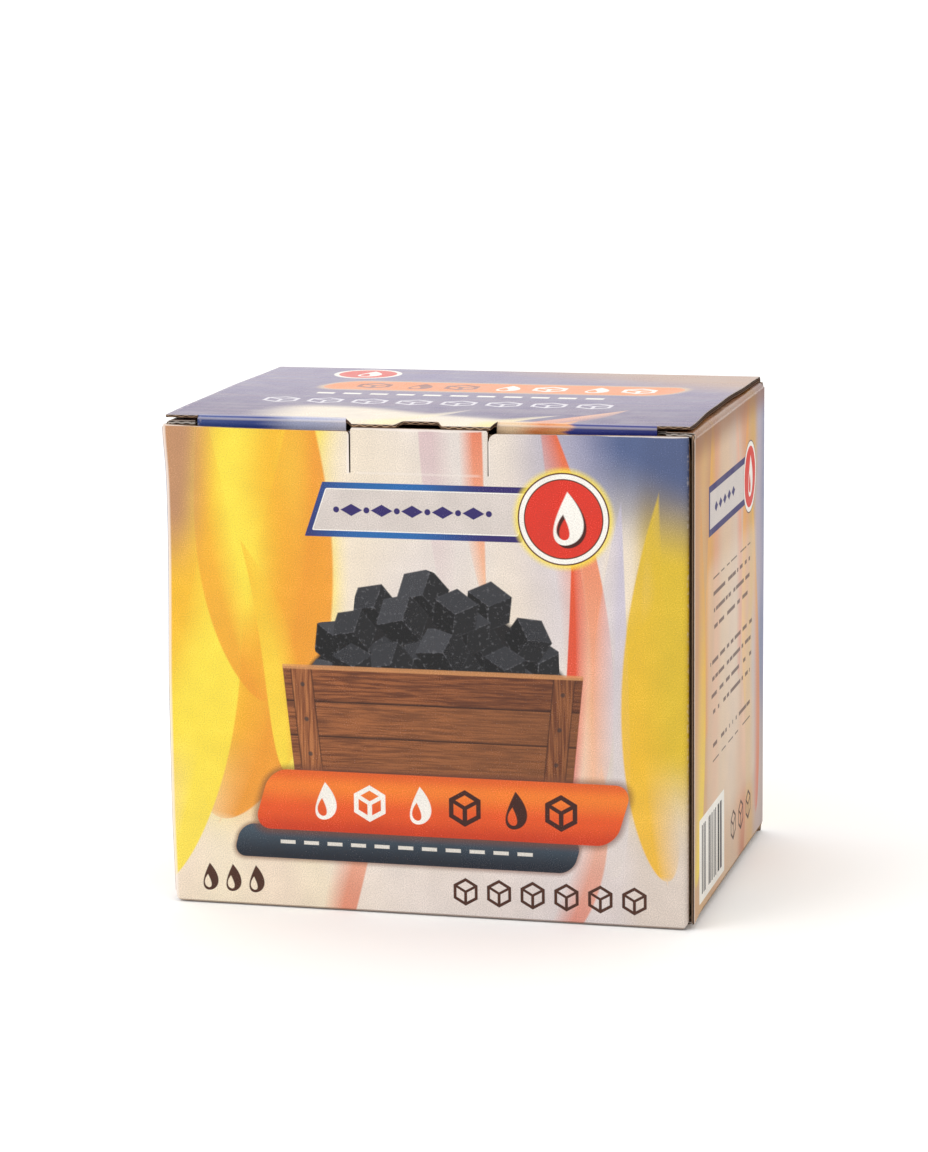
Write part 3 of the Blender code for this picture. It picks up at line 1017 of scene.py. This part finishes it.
def edgeLook(name, swing, thick, wave):
    look, tree, shader = newLook(name)
    edge = useGroup(tree, cutEdge, Point=sheetPoint(tree), Swing=swing, Thick=thick, Wave=ink(*wave))
    plug(edge["Colour"], shader.inputs["Base Color"])
    shader.inputs["Roughness"].default_value = 0.9
    shader.inputs["Specular IOR Level"].default_value = 0.2
    bumped(tree, shader, edge["Height"], 0.0002)
    return look


def artOf(group, **values):
    # The print that a node group draws at each point of a sheet
    return lambda tree, point: useGroup(tree, group, Point=point, **values)["Colour"]


sideColour = artOf(sidePanelArt)


def tuckColour(tree, point):
    # The tuck flap: deep blue at both ends, and between them the pale foot of the lid's flame
    x, v = parts(point)
    streaks = noiseOf(joined(x * 0.12, v * 1.4), 0.5, 1.0, 0.6)
    across = (x + (streaks - 0.5) * 7.0) / 114.0 + 0.5
    return colourRamp(across, (
        (0.00, ink(66, 88, 156)), (0.13, ink(52, 72, 148)), (0.22, ink(176, 182, 214)),
        (0.36, ink(214, 212, 228)), (0.50, ink(244, 228, 206)), (0.68, ink(240, 208, 168)),
        (0.75, ink(228, 140, 84)), (0.80, ink(234, 158, 98)), (0.82, ink(52, 60, 142)),
        (1.00, ink(44, 54, 136)),
    ))


def bleedColour(tree, point):
    # The side's print runs on over the fold and stops a little way in, on plain white coated board
    x, v = parts(point)
    warp = noiseOf(point, 0.05, 2.0, 0.5)
    # Here the side's print brings its painted shadow band from under the lid
    edge = sideColour(tree, vectors("ADD", point, (0.0, 100.0, 0.0)))
    return mixed(ramped(v + (warp - 0.5) * 0.8, 30.0, 30.6), edge, ink(226, 222, 216))


finish = {
    "tone": 0.92, "roughness": 0.24, "gloss": 0.30, "grain": 0.34, "mottle": 0.14, "flutes": 0.10,
    "relief": 0.00006,
}
slitCuts = (  # the front on both sides of the lock tab, each to its rounded corner
    ((-117.9, 20.0, 0.0), (100.0, 100.0), 0.8),
    ((116.7, 20.0, 0.0), (100.0, 100.0), 2.0),
)
tabCrease = ((109.3, -17.0, 15.5),)
tuckCreases = ((12.1, -80.0, 80.0), (13.2, -80.0, 80.0))
cornerLines = ((-49.8, 1.2, 0.6), (50.6, 1.2, 0.7))
# The pale line down the front's left crease is partly a painted highlight where the rounded crease faces the
# key light
frontLook = printedLook(
    "front print", artOf(panelArt, Phase=0.0), 65.2, 0.0, 120.0,
    rim=0.35, cuts=slitCuts, creases=tabCrease, ends=((-64.9, 1.2, 0.7),),
)
backLook = printedLook("back print", artOf(panelArt, Phase=2.1), 66.0, 0.0, 120.0)
sideLook = printedLook("side print", sideColour, 50.4, 0.0, 123.0, ends=cornerLines, shine=(0.5, 0.12))
lidLook = printedLook("lid print", artOf(topArt), 65.2, -3.1, 97.5)
tuckLook = printedLook("tuck print", tuckColour, 57.0, -30.0, 60.0, creases=tuckCreases)
dustLook = printedLook("dust flap print", bleedColour, 50.0, -30.0, 90.0)
linerInside = linerLook("inside liner", (158, 136, 116), (128, 108, 92))
linerBase = linerLook("base kraft", (178, 146, 112), (150, 118, 88))
acrossEdge = edgeLook("edge across the flutes", 0.22, 0.18, (188, 154, 124))
# Its wavy layer is darker than across the flutes: painted shade for raw edges that sit back in shadow, as at
# the seam
alongEdge = edgeLook("edge along the flutes", 0.04, 0.10, (120, 88, 68))
flapEdge = edgeLook("flap edge", 0.10, 0.22, (206, 198, 190))
raw = [linerInside, acrossEdge, alongEdge]
print("materials made")


# The walls: one sheet bent round four corners, with the glue flap behind the front right corner

walls = {
    "sideTop": carton["dustTop"] - carton["fold"],
    "rawTop": carton["dustTop"] - 0.35 * mm,  # the right wall's raw corner, in front of its dust flap
    "rawWidth": 1.7 * mm,
    "backTop": 120.4 * mm,
    "sideFoot": carton["baseStep"] + carton["fold"],
    "rawFoot": 1.6 * mm,
    "rawSetback": 0.5 * mm,
    "rawCrush": 0.6,  # how much of the board's thickness is pressed out of the raw edge
    "frontFoot": 0.4 * mm,
    "footCorner": (2.2 * mm, 0.6),  # radius and share of the rounding at the front's lower left corner
    "glueSpan": (6.0 * mm, 114.0 * mm),
    "glueWidth": 16.0 * mm,
    "endZone": 8.0 * mm,  # the rows near the top and the foot follow the cut outline
    "rawCorner": 1.5 * mm,
    "footCut": 1.8 * mm,
    "slitLeft": (-18.45 * mm, -18.1 * mm),
    "slitRight": (15.9 * mm, 16.15 * mm),
    "slitFoot": 109.3 * mm,
    "slitCorners": (0.8 * mm, 2.0 * mm),
    "tabDrop": -0.2 * mm,  # the tab is sprung up a little above the rest of the edge
    "tabLean": 0.35 * mm,
    "topSag": 0.7 * mm,  # how far the front's top edge hangs between its corners
    "edgeCorner": 0.8 * mm,
    "sway": 0.45 * mm,  # how far the front left corner waves aside, over this length from this height
    "swayLength": 115.0 * mm,
    "swayFrom": 68.0 * mm,
    "swayReach": 22.0 * mm,
    "swayLimit": 0.28 * mm,
    "flare": 0.5 * mm,
    "hollow": 0.2 * mm,  # how far each wall is dished
    "crushReach": 1.3 * mm,
    "rawLength": 9.0 * mm,  # along the right wall's foot, from its raw edge
    "gluePart": (0.4 * mm, 2.4 * mm),  # before and after the fold, where the glue flap's outline takes over
}


def makeWalls():
    left, right = carton["left"], carton["right"]
    front, back = carton["front"], carton["back"]
    seam = carton["seam"]
    corners = [
        (right, front + walls["rawSetback"]), (right, back), (left, back), (left, front), (seam, front),
        (seam, front + walls["glueWidth"]),
    ]
    starts, at = foldedRun(corners, carton["fold"], -1)
    middles = (starts[0:-1:2] + starts[1::2]) / 2
    middles[0] = -front - walls["rawSetback"]
    frontMiddle = middles[3]
    centreX = at(np.array([frontMiddle]))[0][0, 0]
    toRun = frontMiddle - centreX  # adds to a front x to give its place along the run
    slits = [edge + toRun for edge in (*walls["slitLeft"], *walls["slitRight"])]
    bounds = (starts[1:-1:2] + starts[2::2]) / 2  # the walls meet halfway round each crease
    bounds[3] = starts[8] + 0.2 * mm  # but the front's print covers the whole fold of the glue flap

    us = gridLines(
        0.0, (walls["rawWidth"] - 0.01 * mm, 6), (walls["rawWidth"], 1), (starts[1], 20), (starts[2], 6),
        (starts[3], 24), (starts[4], 6), (starts[5], 20), (starts[6], 6), (starts[6] + 2 * mm, 3),
        (slits[0] - 1.0 * mm, 10), (slits[0], 5), (slits[1], 1), (slits[1] + 0.8 * mm, 3),
        (slits[2] - 0.8 * mm, 12), (slits[2], 3), (slits[3], 1), (slits[3] + 2.2 * mm, 7),
        (starts[7] - 2 * mm, 12), (starts[7], 6), (starts[8], 6), (starts[-1], 6),
    )
    gridTop, slitFoot = carton["frontTop"], walls["slitFoot"]
    vs = gridLines(
        0.0, (2.0 * mm, 3), (walls["endZone"], 3), (slitFoot, 26), (112.0 * mm, 2), (gridTop, 8),
    )
    beforeGlue, afterGlue = walls["gluePart"]

    def towardsGlue(u):
        return smoothStep(u, starts[8] - beforeGlue, starts[8] + afterGlue)

    def topOf(u):
        x = u - toRun
        top = np.full(u.shape, walls["sideTop"])
        rawEnd = walls["rawTop"] - cornerDrop(u, walls["rawCorner"])
        top = np.where(u < walls["rawWidth"] - 0.005 * mm, rawEnd, top)
        top = np.where((u > bounds[0]) & (u < bounds[1]), walls["backTop"], top)
        slit0, slit1, slit2, slit3 = (edge - toRun for edge in slits)
        drops = cornerDrop(np.abs(x - slit0) + (x > slit0) * 9, walls["slitCorners"][0])
        drops = drops + cornerDrop(np.abs(x - slit3) + (x < slit3) * 9, walls["slitCorners"][1])
        drops = drops + cornerDrop(starts[8] - u, walls["edgeCorner"])
        t = shareOf((u - starts[6]) / (starts[7] - starts[6]))
        drops = drops + walls["topSag"] * archOf(t ** 0.6)
        inTab = (x > slit0 + 0.01 * mm) & (x < slit3 - 0.01 * mm)
        tabDrop = walls["tabDrop"] + cornerDrop(x - slit1, 0.5 * mm) + cornerDrop(slit2 - x, 0.5 * mm)
        top = np.where((u > bounds[2]) & (u <= starts[8]), gridTop - np.where(inTab, tabDrop, drops), top)
        return top + towardsGlue(u) * (walls["glueSpan"][1] - gridTop)

    def footOf(u):
        foot = np.full(u.shape, walls["sideFoot"])
        raw = u / walls["rawLength"]
        foot = np.where(raw < 1.0, walls["rawFoot"] + raw * (foot - walls["rawFoot"]), foot)
        foot = np.where((u > bounds[0]) & (u < bounds[1]), 0.0, foot)
        cut = np.clip(walls["footCut"] - (starts[8] - u), 0.0, None)
        radius, share = walls["footCorner"]
        cut = cut + cornerDrop(u - bounds[2], radius) * share
        foot = np.where((u > bounds[2]) & (u <= starts[8]), walls["frontFoot"] + cut, foot)
        return foot + towardsGlue(u) * (walls["glueSpan"][0] - foot)

    def keep(u, v):
        inSlit = ((u > slits[0]) & (u < slits[1])) | ((u > slits[2]) & (u < slits[3]))
        return ~(inSlit & (v > slitFoot))

    def shape(u, v):
        # The rows in the end zones slide up or down to the outline; the others stay level.
        zone = walls["endZone"]
        nearTop = shareOf((v - (gridTop - zone)) / zone)
        nearFoot = shareOf(1.0 - v / zone)
        return u, v + nearTop * (topOf(u) - gridTop) + nearFoot * footOf(u)

    def place(u, v, w):
        # The plan point of the folded run at u, raised to v. It moves in by the depth w, times 1 less a bell
        # curve of u at the raw edge, plus a dish (a half wave along the wall times a squared half wave of
        # the height) and the tab's lean (which grows with the height). Near the front left corner, by a bell
        # curve of the distance, x shifts by a sine of the height less a smooth step near the top.
        inWall = np.clip(np.searchsorted(starts, u, side="right") - 1, 0, len(starts) - 2)
        begin, end = starts[inWall], starts[inWall + 1]
        dished = (inWall % 2 == 0) & (inWall != 8)
        dish = walls["hollow"] * archOf((u - begin) / (end - begin)) * dished * archOf(v / gridTop) ** 2
        inTab = (u > slits[0] + 0.1 * mm) & (u < slits[3] - 0.05 * mm)
        lean = walls["tabLean"] * shareOf((v - slitFoot) / (gridTop - slitFoot)) * inTab
        crush = 1.0 - walls["rawCrush"] * bellOf(u / walls["crushReach"])
        spot = beneath(at, u, w * crush + dish + lean)
        wave = walls["sway"] * np.sin(2 * np.pi * (v - walls["swayFrom"]) / walls["swayLength"])
        shift = wave - walls["flare"] * smoothStep(v, 105 * mm, 120 * mm)
        nearCorner = bellOf((u - starts[6]) / walls["swayReach"])
        x = spot[..., 0] + np.maximum(shift, -walls["swayLimit"]) * nearCorner
        return x, spot[..., 1], v

    def panelOf(u):
        wall = np.clip(np.searchsorted(bounds, u), 0, 4)
        return np.array([1, 2, 1, 0, 3])[wall], middles[wall]

    made = boardPiece(
        "walls", us, vs, keep, shape, place, [frontLook, sideLook, backLook, linerBase, *raw], panelOf,
    )
    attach(made, "carton")
    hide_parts("front_panel", "right_panel", "back_panel", "left_panel", "seam_flap")
    return made


# The lid, with the lip cut out of its front crease and the thumb notch in the lip

lid = {
    "left": lidLow[0] - 0.45 * mm,
    "right": lidHigh[0],
    "sideArch": 0.28 * mm,  # how far both side edges rise halfway back
    "lipCrush": 0.34,  # how much of the board's thickness is pressed out of the lip
    "wide": 1.3 * mm,  # how far behind the crease the tuck flap's fold reaches
    "lipBack": (-20.0 * mm, 17.5 * mm),
    "lipTaper": (2.3 * mm, 0.9 * mm),
    "lipLength": 3.1 * mm,
    "lipDroop": 0.82 * mm,
    "notch": (-7.4 * mm, -5.0 * mm, 3.0 * mm, 4.9 * mm),  # the feet and shoulders of its S-shaped sides
    "notchDepth": 2.2 * mm,
    "backEnd": 120.4 * mm,
    "cornerDrop": 0.12 * mm,
    "cornerSpread": (26.0 * mm, 20.0 * mm),  # how far along the crease and back the corner's drop spreads
    "depth": 96.0 * mm,
    "sag": 0.18 * mm,  # how far the middle hangs
    "lipEnd": 5.0 * mm,
    "edgeWave": 0.12 * mm,  # how wavy the cut side edges are, and the lengths of the waves
    "waves": (7.3 * mm, 5.1 * mm),
    "edgeBow": 0.7 * mm,  # how far the right edge draws in halfway back
    "edgeSkew": 0.35 * mm,  # and at its front corner
    "cornerCrush": 0.45,
}


def makeLid():
    top, crease, back = carton["lidTop"], carton["crease"], carton["back"]
    start = crease - 10 * mm
    starts, at = foldedRun([(start, top), (back, top), (back, 100 * mm)], carton["fold"], 1)
    toRun = crease - start
    tuckLeft, tuckRight = tuckSpan
    lipLeft, lipRight = lid["lipBack"]
    foot0, foot1, foot2, foot3 = lid["notch"]
    us = gridLines(
        lid["left"], (tuckLeft, 8), (lipLeft, 16), (lipLeft + 4 * mm, 8), (foot0, 6), (foot1, 8), (foot2, 10),
        (foot3, 8), (lipRight - 4 * mm, 6), (lipRight, 8), (tuckRight, 16), (lid["right"], 8),
    )
    lastRun = starts[2] + (top - carton["fold"]) - lid["backEnd"]
    vs = gridLines(
        -lid["lipLength"], (0.0, 6), (lid["wide"], 2), (starts[1] - toRun, 40), (starts[2] - toRun, 8),
        (lastRun - toRun, 1),
    )

    def keep(u, v):
        onLip = (u > lipLeft) & (u < lipRight)
        onTuck = (u > tuckLeft) & (u < tuckRight)
        return np.where(v < 0, onLip, np.where(v < lid["wide"], ~onTuck | onLip, True))

    def shape(u, v):
        # On the lip, the ends draw in and the notch takes its share of the length.
        out = shareOf(-v / lid["lipLength"])
        pullLeft = shareOf(1.0 - (u - lipLeft) / lid["lipEnd"]) * (u >= lipLeft - 1e-6)
        pullRight = shareOf(1.0 - (lipRight - u) / lid["lipEnd"]) * (u <= lipRight + 1e-6)
        moved = u + out * (pullLeft * lid["lipTaper"][0] - pullRight * lid["lipTaper"][1])
        cut = lid["notchDepth"] * smoothStep(u, foot0, foot1) * (1.0 - smoothStep(u, foot2, foot3))
        cutBack = np.where(v < 0, v * (1.0 - cut / lid["lipLength"]), v)
        leftWave, rightWave = lid["waves"]
        wavy = np.where(u > lid["right"] - 1e-6, np.sin(v / rightWave) - 1.0, 0.0)
        wavy = wavy + np.where(u < lid["left"] + 1e-6, 1.0 - np.sin(v / leftWave), 0.0)
        depth = shareOf(v / lid["depth"])
        drawn = lid["edgeBow"] * archOf(depth ** 0.8) ** 2 + lid["edgeSkew"] * (1.0 - depth)
        drawn = drawn * smoothStep(u, lid["right"] - 8 * mm, lid["right"])
        return moved + wavy * lid["edgeWave"] - drawn, cutBack

    def place(u, v, w):
        # A flat top bent down at the back, with w below its face, less where it is pressed. The lip droops by
        # a power of its length, the front left corner by a bell curve both ways, and the middle by a half
        # wave front to back times a cosine of u. Both side edges rise by the same half wave.
        atEnd = smoothStep(np.abs(u - 0.6 * mm), 48 * mm, 58 * mm) * bellOf(v / (2.5 * mm))
        pressed = lid["lipCrush"] * smoothStep(-v, 0.0, 0.8 * mm)
        spot = beneath(at, v + toRun, w * (1.0 - lid["cornerCrush"] * atEnd) * (1.0 - pressed))
        droop = lid["lipDroop"] * shareOf(-v / lid["lipLength"]) ** 1.3
        spreadU, spreadV = lid["cornerSpread"]
        fall = lid["cornerDrop"] * bellOf((u - lid["left"]) / spreadU) * bellOf(v / spreadV)
        half = archOf(v / lid["depth"])
        sag = lid["sag"] * half * np.cos(u / (50 * mm))
        arch = lid["sideArch"] * half * smoothStep(np.abs(u), 45 * mm, 65 * mm)
        return u, spot[..., 0], spot[..., 1] - droop - fall + arch - sag

    made = boardPiece("lid", us, vs, keep, shape, place, [lidLook, *raw])
    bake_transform(made)
    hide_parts("lid_panel")
    return made


# The tuck flap, folded down from the lid's front crease, with a window where the lip was cut out

tuck = {"low": 109.1 * mm, "corner": 6.0 * mm, "cornerZone": 7.0 * mm, "windowFoot": 118.9 * mm}


def makeTuck():
    top, crease = carton["lidTop"], carton["crease"]
    low = tuck["low"]
    starts, at = foldedRun([(crease, low), (crease, top), (0.0, top)], carton["fold"], 1)
    left, right = tuckSpan
    lipLeft, lipRight = lid["lipBack"]
    us = gridLines(
        left, (left + tuck["corner"], 10), (lipLeft, 16), (lipRight, 14), (right - tuck["corner"], 16),
        (right, 10),
    )
    lastRun = starts[2] + lid["wide"] - carton["fold"]
    tail = [(lastRun, 1)] if lastRun > starts[2] + 1e-6 else []
    window = tuck["windowFoot"] - low
    vs = gridLines(0.0, (tuck["cornerZone"], 6), (window, 3), (starts[1], 3), (starts[2], 8), *tail)

    def keep(u, v):
        return ~((u > lipLeft) & (u < lipRight) & (v > window))

    def shape(u, v):
        drop = cornerDrop(np.minimum(u - left, right - u), tuck["corner"])
        return u, v + drop * shareOf(1.0 - v / tuck["cornerZone"])

    def place(u, v, w):
        # Upright below the crease, then a quarter turn into the lid
        spot = beneath(at, v, w)
        return u, spot[..., 0], spot[..., 1]

    made = boardPiece("tuck", us, vs, keep, shape, place, [tuckLook, *raw])
    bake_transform(made)
    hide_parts("tuck_flap")
    return made


# The dust flaps, folded in from the tops of the side walls under the lid

dust = {
    "reach": 45.0 * mm,
    "corner": 6.0 * mm,
    "cornerZone": 7.0 * mm,
    "sag": 0.35 * mm,
    "shoulder": 7.4 * mm,
    "front": 46.8 * mm,
    "clear": 44.9 * mm,
    "back": 47.5 * mm,
    "taper": 0.36,
}


def makeDustFlap(name, side):
    top, fold = carton["dustTop"], carton["fold"]
    edge = carton["left"] if side < 0 else carton["right"]
    starts, at = foldedRun([(0.0, 100 * mm), (0.0, top), (60 * mm, top)], fold, 1)
    zero = starts[2] - fold  # where the run would be at the fold's own corner
    tip = zero + dust["reach"]
    shoulder = zero + dust["shoulder"]
    zone = tip - dust["cornerZone"]
    us = gridLines(0.0, (0.14, 8), (0.86, 19), (1.0, 8))
    vs = gridLines(
        starts[1], (starts[2], 8), (shoulder, 4), (shoulder + 0.01 * mm, 1), (zone, 10), (tip, 7),
    )

    def shape(u, v):
        # u runs 0 to 1 from one cut edge to the other; both edges are worked out for each row.
        inset = np.clip(v - zero, 0.0, None)
        front = np.where(v <= shoulder + 0.005 * mm, dust["front"], dust["clear"])
        back = dust["back"] - dust["taper"] * inset
        low, high = (-front, back) if side > 0 else (-back, front)
        across = low + u * (high - low)
        ends = np.minimum(across - low, high - across)
        drop = cornerDrop(ends, dust["corner"])
        return across, v - drop * shareOf((v - zone) / dust["cornerZone"])

    def place(u, v, w):
        # Up the wall, a quarter turn, then level, with a slight sag towards the tip
        spot = beneath(at, v, w)
        inset = shareOf((v - zero) / dust["reach"])
        return edge - side * spot[..., 0], side * u, spot[..., 1] - dust["sag"] * inset ** 2

    made = boardPiece(name, us, vs, everywhere, shape, place, [dustLook, linerInside, acrossEdge, flapEdge])
    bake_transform(made)
    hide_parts(name)
    return made


# The closed base: one panel outside, and the two side flaps inside it

base = {
    "left": -65.0 * mm, "right": 64.2 * mm, "back": 48.5 * mm, "front": -48.8 * mm, "lip": 1.1 * mm,
    "reach": 54.0 * mm, "flapBack": 47.8 * mm, "flapTaper": 3.0 * mm, "cut": 1.8 * mm, "rise": 9.0 * mm,
}


def makeBase():
    front = base["front"]
    corners = [(base["back"], 0.0), (front, 0.0), (front, base["rise"])]
    starts, at = foldedRun(corners, carton["fold"], 1)
    us = gridLines(base["left"], (base["left"] + 2 * mm, 4), (base["right"] - 2 * mm, 24), (base["right"], 4))
    vs = gridLines(0.0, (starts[1], 24), (starts[2], 6), (starts[2] + base["lip"], 1))

    def shape(u, v):
        # The front corners are cut off at a slant.
        narrow = base["cut"] * shareOf((v - starts[1] + base["cut"]) / base["cut"])
        t = (u - base["left"]) / (base["right"] - base["left"])
        return u + narrow * (0.35 * (1 - t) - t), v

    def place(u, v, w):
        # Level, then a quarter turn up at the front
        spot = beneath(at, v, w)
        return u, spot[..., 0], spot[..., 1]

    made = boardPiece("base", us, vs, everywhere, shape, place, [linerBase, *raw])
    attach(made, "carton")
    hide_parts("base_panel")
    for name, side in (("base_flap_left", -1), ("base_flap_right", 1)):
        makeBaseFlap(name, side)


def makeBaseFlap(name, side):
    edge = carton["left"] if side < 0 else carton["right"]
    step = carton["baseStep"]
    corners = [(base["reach"], step), (0.0, step), (0.0, step + base["rise"])]
    starts, at = foldedRun(corners, carton["fold"], 1)
    us = np.linspace(-1.0, 1.0, 25)
    vs = gridLines(0.0, (starts[1], 14), (starts[2], 6))

    def shape(u, v):
        half = base["flapBack"] - base["flapTaper"] * shareOf(1.0 - v / starts[1])
        return u * half, v

    def place(u, v, w):
        # Level, then a quarter turn up at the side wall
        spot = beneath(at, v, w)
        return edge - side * spot[..., 0], side * u, spot[..., 1]

    made = boardPiece(name, us, vs, everywhere, shape, place, [linerBase, *raw])
    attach(made, "carton")
    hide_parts(name)


makeWalls()
makeLid()
makeTuck()
makeDustFlap("dust_flap_left", -1)
makeDustFlap("dust_flap_right", 1)
makeBase()
print("board folded")


# The studio

def makeFloor():
    # A wide level sheet of pale paper
    half = studio["floor"]
    mesh = bpy.data.meshes.new("floor")
    corners = [(-half, -half, 0.0), (half, -half, 0.0), (half, half, 0.0), (-half, half, 0.0)]
    mesh.from_pydata(corners, [], [(0, 1, 2, 3)])
    look, tree, shader = newLook("pale paper")
    values = {
        "Base Color": (0.93, 0.93, 0.93, 1.0), "Roughness": 1.0, "Specular IOR Level": 0.0,
        "Emission Color": (1.0, 1.0, 1.0, 1.0), "Emission Strength": studio["floorGlow"],
    }
    for label, value in values.items():
        shader.inputs[label].default_value = value
    mesh.materials.append(look)
    made = bpy.data.objects.new("floor", mesh)
    bpy.context.collection.objects.link(made)


def makeLamp(name, place, target, size, power):
    lamp = bpy.data.lights.new(name, "AREA")
    lamp.shape = "RECTANGLE"
    lamp.size, lamp.size_y = size
    lamp.energy = power
    made = bpy.data.objects.new(name, lamp)
    made.location = place
    made.rotation_euler = (Vector(target) - Vector(place)).to_track_quat("-Z", "Y").to_euler()
    bpy.context.collection.objects.link(made)


studio = {
    "floor": 30.0,
    "floorGlow": 0.06,  # lifts the shadow beside the carton
    "room": 0.20,  # how bright the room is where nothing below reaches
    # Soft glows of the room: the way each lies, where it starts and is full along that way, and its strength
    "glows": (
        ((0.0, 1.0, 0.0), 0.0, 1.0, 0.50), ((0.0, 0.0, 1.0), 0.1, 0.9, 0.95),
        ((-1.0, 0.0, 0.0), -0.6, 0.8, 0.40),
    ),
    "key": ((-1.2, -1.4, 1.2), (0.0, 0.0, 0.05), (1.2, 1.2), 9.5),
}


def makeStudio():
    world = bpy.data.worlds.new("studio")
    world.use_nodes = True
    tree = world.node_tree
    direction = added(tree, "TexCoord", {}, "Generated")
    strength = studio["room"]
    for way, start, full, amount in studio["glows"]:
        strength = ramped(vectors("DOT_PRODUCT", direction, way), start, full) * amount + strength
    plug(strength, tree.nodes["Background"].inputs["Strength"])
    tree.nodes["Background"].inputs["Color"].default_value = (1.0, 0.99, 0.975, 1.0)
    bpy.context.scene.world = world
    makeLamp("key", *studio["key"])
    bpy.context.scene.view_settings.view_transform = "Standard"


# The camera: azimuth from straight in front towards +X, elevation, and a roll, all in degrees
view = {
    "place": (221.0 * mm, -877.0 * mm, 240.6 * mm),
    "azimuth": 14.3235,
    "elevation": 10.3337,
    "roll": -0.6078,
    "lens": 112.92,
}


def makeCamera():
    azimuth, elevation, roll = (math.radians(view[key]) for key in ("azimuth", "elevation", "roll"))
    level = math.cos(elevation)
    back = Vector((math.sin(azimuth) * level, -math.cos(azimuth) * level, math.sin(elevation)))
    right = (-back).cross(Vector((0.0, 0.0, 1.0))).normalized()
    up = right.cross(-back)
    rolledRight = right * math.cos(roll) + up * math.sin(roll)
    rolledUp = up * math.cos(roll) - right * math.sin(roll)
    lens = bpy.data.cameras.new("camera")
    lens.lens = view["lens"]
    camera = bpy.data.objects.new("camera", lens)
    turn = Matrix((rolledRight, rolledUp, back)).transposed()
    camera.matrix_world = Matrix.Translation(view["place"]) @ turn.to_4x4()
    bpy.context.collection.objects.link(camera)
    bpy.context.scene.camera = camera


makeFloor()
makeStudio()
makeCamera()
print("studio set")
